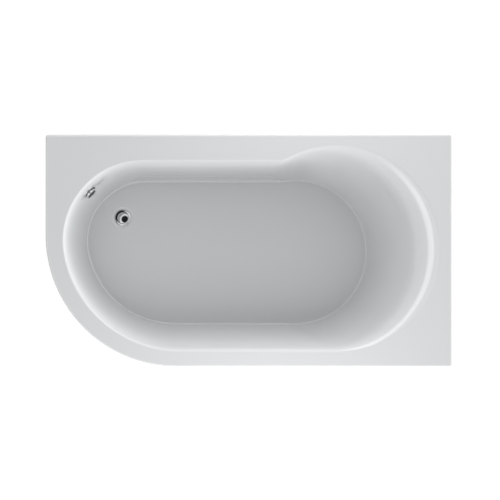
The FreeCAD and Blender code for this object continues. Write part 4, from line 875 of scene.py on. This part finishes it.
# Painted dark reflection: a black cap is put on the knob's front where the chrome shows only a dark
# reflection.
painted_dark_reflection = moulded("black_cap_painted_reflection", (0.028, 0.028, 0.030), (0.036, 0.036, 0.038), 0.4, 60.0, 0.00004)
skin = Skin()
dome = [(CAP_RADIUS, front - CAP_SINK - CAP_SKIRT), (CAP_RADIUS, front - CAP_SINK)]
dome += [(CAP_RADIUS * math.cos(a), front - CAP_SINK + CAP_BULGE * math.sin(a))
         for a in np.linspace(0.08, math.pi / 2 - 0.04, 14)]
lathed(skin, dome, OVERFLOW, count=KNOB_POINTS)
cap = skin.made("satin_knob_cap", painted_dark_reflection, 40)
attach(cap, "knob")
dress(brass, "knob_spindle")
dress(polypropylene, "cable_drum")


# Overflow hose and nuts. A corrugated grey hose with plain cuffs, clamped at the elbow and at the
# waste body by grey nuts. Geometry Nodes swell a circle into even ribs along its line.
HOSE_ROOT, HOSE_RIB, HOSE_PITCH, HOSE_CUFF, HOSE_STEP = 0.0158, 0.0027, 0.0075, 0.020, 0.0007
OUTWARD = (Vector(turn["pos_m"][:2]) - Vector(WASTE)).normalized()
HOSE_REACH, HOSE_TOP, HOSE_LEVEL, HOSE_END = 0.18524, 0.44510, 0.11220, 0.062
HOSE_DROP, HOSE_BEND, HOSE_TURN = 0.060, 0.144, 0.100


def route(name, points):
    """A smooth line through the run of a hose, with reaches from the waste, sidesteps and heights."""
    line = bpy.data.curves.new(name, "CURVE")
    line.dimensions = "3D"
    spline = line.splines.new("NURBS")
    spline.points.add(len(points) - 1)
    for control, (reach, aside, z) in zip(spline.points, points):
        across = Vector((OUTWARD.y, -OUTWARD.x))
        flat = Vector(WASTE) + OUTWARD * reach + across * aside
        control.co = (flat.x, flat.y, z, 1)
    spline.order_u = 3
    spline.use_endpoint_u = True
    spline.resolution_u = 24
    return line


hose, given = new_tree("ribbed_hose", "Hose", Route="Geometry", Root="Float", Rib="Float", Pitch="Float",
                       Cuff="Float", Step="Float", Finish="Material")
fine = add(hose, "GeometryNodeResampleCurve", {"mode": "LENGTH"}, Curve=given["Route"],
           Length=given["Step"]).outputs["Curve"]
far = add(hose, "GeometryNodeSplineParameter").outputs["Length"]
total = add(hose, "GeometryNodeCurveLength", Curve=fine).outputs["Length"]
past = reckon(hose, "SUBTRACT", far, given["Cuff"])
left = reckon(hose, "SUBTRACT", reckon(hose, "SUBTRACT", total, given["Cuff"]), far)
inside = reckon(hose, "MULTIPLY", reckon(hose, "GREATER_THAN", past, 0.0),
                reckon(hose, "GREATER_THAN", left, 0.0))
turn_of = reckon(hose, "MULTIPLY", reckon(hose, "DIVIDE", past, given["Pitch"]), 2 * math.pi)
wave = reckon(hose, "MULTIPLY_ADD", reckon(hose, "COSINE", turn_of), -0.5, 0.5)
shaped = add(hose, "ShaderNodeMapRange", {"interpolation_type": "SMOOTHSTEP"}, Value=wave, From_Min=0.2,
             From_Max=0.75)
swell = reckon(hose, "MULTIPLY", reckon(hose, "MULTIPLY", shaped.outputs["Result"], inside), given["Rib"])
section = add(hose, "GeometryNodeCurvePrimitiveCircle", Resolution=40, Radius=1.0).outputs["Curve"]
tube = add(hose, "GeometryNodeCurveToMesh", Curve=fine, Profile_Curve=section, Fill_Caps=True,
           Scale=reckon(hose, "ADD", swell, given["Root"]))
add(hose, "NodeGroupOutput", Hose=realised(hose, tube.outputs["Mesh"], given["Finish"]))

hose_plastic = moulded("grey_hose_plastic", (0.64, 0.65, 0.66), (0.70, 0.71, 0.72), 0.45)
hose_line = route("hose_route", [(HOSE_REACH, 0, HOSE_TOP), (HOSE_REACH, 0, HOSE_TOP - HOSE_DROP),
                                 (HOSE_REACH, 0, HOSE_LEVEL + HOSE_BEND), (HOSE_REACH, 0, HOSE_LEVEL),
                                 (HOSE_REACH - HOSE_TURN, 0, HOSE_LEVEL), (HOSE_END, 0, HOSE_LEVEL)])
overflow_hose = grown("ribbed_overflow_hose", hose, hose_line, Root=HOSE_ROOT, Rib=HOSE_RIB, Pitch=HOSE_PITCH,
                      Cuff=HOSE_CUFF, Step=HOSE_STEP, Finish=hose_plastic)
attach(overflow_hose, "bath")
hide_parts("overflow_hose")
dress(grey_nylon, "hose_nuts")


# Pull cable. A black sheathed cable beside the hose, held in a gland at each end, that carries the
# knob's turn to the lever. It is swept by the hose's node tree, without ribs.
CABLE_RADIUS, CABLE_ASIDE, CABLE_TOP, CABLE_LEVEL, CABLE_END = 0.0025, 0.0285, 0.46310, 0.10420, 0.049
CABLE_BEND, CABLE_STEP = 0.120, 0.004
sheath = moulded("black_cable_sheath", (0.036, 0.036, 0.038), (0.046, 0.046, 0.048), 0.42)
cable_line = route("cable_route", [
    (HOSE_REACH, CABLE_ASIDE, CABLE_TOP), (HOSE_REACH, CABLE_ASIDE, CABLE_TOP - HOSE_DROP),
    (HOSE_REACH, CABLE_ASIDE, CABLE_LEVEL + CABLE_BEND), (HOSE_REACH, CABLE_ASIDE, CABLE_LEVEL),
    (HOSE_REACH - HOSE_TURN, CABLE_ASIDE, CABLE_LEVEL), (CABLE_END, CABLE_ASIDE, CABLE_LEVEL)])
cable = grown("pull_cable_sheath", hose, cable_line, Root=CABLE_RADIUS, Rib=0.0, Pitch=HOSE_PITCH,
              Cuff=HOSE_CUFF, Step=CABLE_STEP, Finish=sheath)
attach(cable, "bath")
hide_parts("pull_cable")


# Camera. It looks straight down on the bath from well above through a long lens, with the back wall's
# side upwards, to match the photograph's view.
CAMERA_STAND, CAMERA_X, CAMERA_Y, FRAME_WIDTH, SENSOR = 6.0, 0.0046, 0.0023, 2.0875, 36.0
eye = bpy.data.cameras.new("camera")
eye.sensor_width = SENSOR
eye.lens = SENSOR * CAMERA_STAND / FRAME_WIDTH
eye.clip_end = 50.0
camera = placed("camera", eye)
camera.location = (CAMERA_X, CAMERA_Y, RIM_Z + CAMERA_STAND)
bpy.context.scene.camera = camera


# Studio. A white floor and backdrop, soft light that comes mostly from low down and from the right, and
# three lamps over the front, the back and the right end. Reflections see plain white instead, with a
# dark patch overhead and a brighter arch to the left.
FLOOR_SIZE, FLOOR_GREY, FLOOR_GLOW, FILL_LIGHT, LAMP_SIZE = 12.0, 0.5, 0.72, 6.7, 0.8
DIM_WAY, ARCH_WAY, ARCH_LIGHT, ARCH_BOUNCES = (0.14, -0.14, 1.0), (-1.0, 0.5, 0.0), 1.9, 2.5
half = FLOOR_SIZE / 2
floor_mesh = bpy.data.meshes.new("studio_floor")
floor_mesh.from_pydata([(-half, -half, 0), (half, -half, 0), (half, half, 0), (-half, half, 0)], [],
                       [(0, 1, 2, 3)])
paper, tree, shader, _ = finish("white_studio_floor", 0.8)
shader.inputs["Base Color"].default_value = (FLOOR_GREY, FLOOR_GREY, FLOOR_GREY, 1)
shader.inputs["Specular IOR Level"].default_value = 0.0
path = add(tree, "ShaderNodeLightPath").outputs
seen = reckon(tree, "MAXIMUM", path["Is Camera Ray"], path["Is Glossy Ray"])
seen = reckon(tree, "MAXIMUM", seen, path["Is Transmission Ray"])
shader.inputs["Emission Color"].default_value = (1, 1, 1, 1)
tree.links.new(reckon(tree, "MULTIPLY", seen, FLOOR_GLOW), shader.inputs["Emission Strength"])
floor_mesh.materials.append(paper)
studio_floor = placed("studio_floor", floor_mesh)


def aimed(tree, way, aim):
    """How nearly a way points along an aim, from -1 to 1."""
    made = add(tree, "ShaderNodeVectorMath", {"operation": "DOT_PRODUCT"}, Vector=way)
    made.inputs[1].default_value = Vector(aim).normalized()
    return made.outputs["Value"]


def mixed(tree, share, one, other):
    """One light, with another in its place by a share."""
    made = add(tree, "ShaderNodeMixShader", Fac=share)
    tree.links.new(one.outputs[0], made.inputs[1])
    tree.links.new(other.outputs[0], made.inputs[2])
    return made


room = bpy.data.worlds.new("studio")
bpy.context.scene.world = room
room.use_nodes = True
tree = room.node_tree
tree.nodes.clear()
path = add(tree, "ShaderNodeLightPath").outputs
way = add(tree, "ShaderNodeTexCoord").outputs["Generated"]
split = add(tree, "ShaderNodeSeparateXYZ", Vector=way).outputs
horizon = ramp(tree, split["Z"], (0.0, 0.45), (0.13, 0.45), (0.17, 0.32), (0.33, 0.28), (0.42, 0.165),
               (1.0, 0.15))
from_right = add(tree, "ShaderNodeMapRange", Value=split["X"], From_Min=-1.0, From_Max=1.0, To_Min=0.2,
                 To_Max=1.05).outputs["Result"]
sky = reckon(tree, "MULTIPLY", horizon, from_right)
ceiling = ramp(tree, aimed(tree, way, DIM_WAY), (0.0, 1.0), (0.90, 1.0), (0.945, 0.02))
arch = ramp(tree, split["Z"], (0.56, 0.0), (0.66, 1.0), (0.84, 1.0), (0.88, 0.0))
on_left = add(tree, "ShaderNodeMapRange", Value=aimed(tree, way, ARCH_WAY), From_Min=-0.1, From_Max=0.3,
              To_Min=0.0, To_Max=1.0).outputs["Result"]
arch = reckon(tree, "MULTIPLY", arch, on_left)
arch = reckon(tree, "MULTIPLY", arch, reckon(tree, "LESS_THAN", path["Ray Depth"], ARCH_BOUNCES))
reflected = reckon(tree, "MULTIPLY_ADD", arch, ARCH_LIGHT, ceiling)
even = add(tree, "ShaderNodeBackground", Color=sky, Strength=FILL_LIGHT)
mirror = add(tree, "ShaderNodeBackground", Color=reflected, Strength=1.0)
white = add(tree, "ShaderNodeBackground", Color=(1, 1, 1, 1), Strength=1.0)
lit = mixed(tree, path["Is Glossy Ray"], even, mirror)
seen = reckon(tree, "MAXIMUM", path["Is Camera Ray"], path["Is Transmission Ray"])
add(tree, "ShaderNodeOutputWorld", Surface=mixed(tree, seen, lit, white).outputs[0])

for name, spot, aim, watts in (
        ("front_light", (0.1, -1.05, 1.5), (0.1, -0.4, 0.58), 5.2),
        ("back_light", (0.3, 1.25, 1.2), (0.2, 0.4, 0.58), 3.4),
        ("end_light", (1.7, 0.1, 1.2), (0.75, 0.0, 0.58), 0.7)):
    bulb = bpy.data.lights.new(name, "AREA")
    bulb.size, bulb.energy = LAMP_SIZE, watts
    lamp = placed(name, bulb)
    lamp.location = spot
    lamp.rotation_euler = (Vector(aim) - Vector(spot)).to_track_quat("-Z", "Y").to_euler()
    lamp.visible_glossy = False

bpy.context.scene.view_settings.view_transform = "Standard"
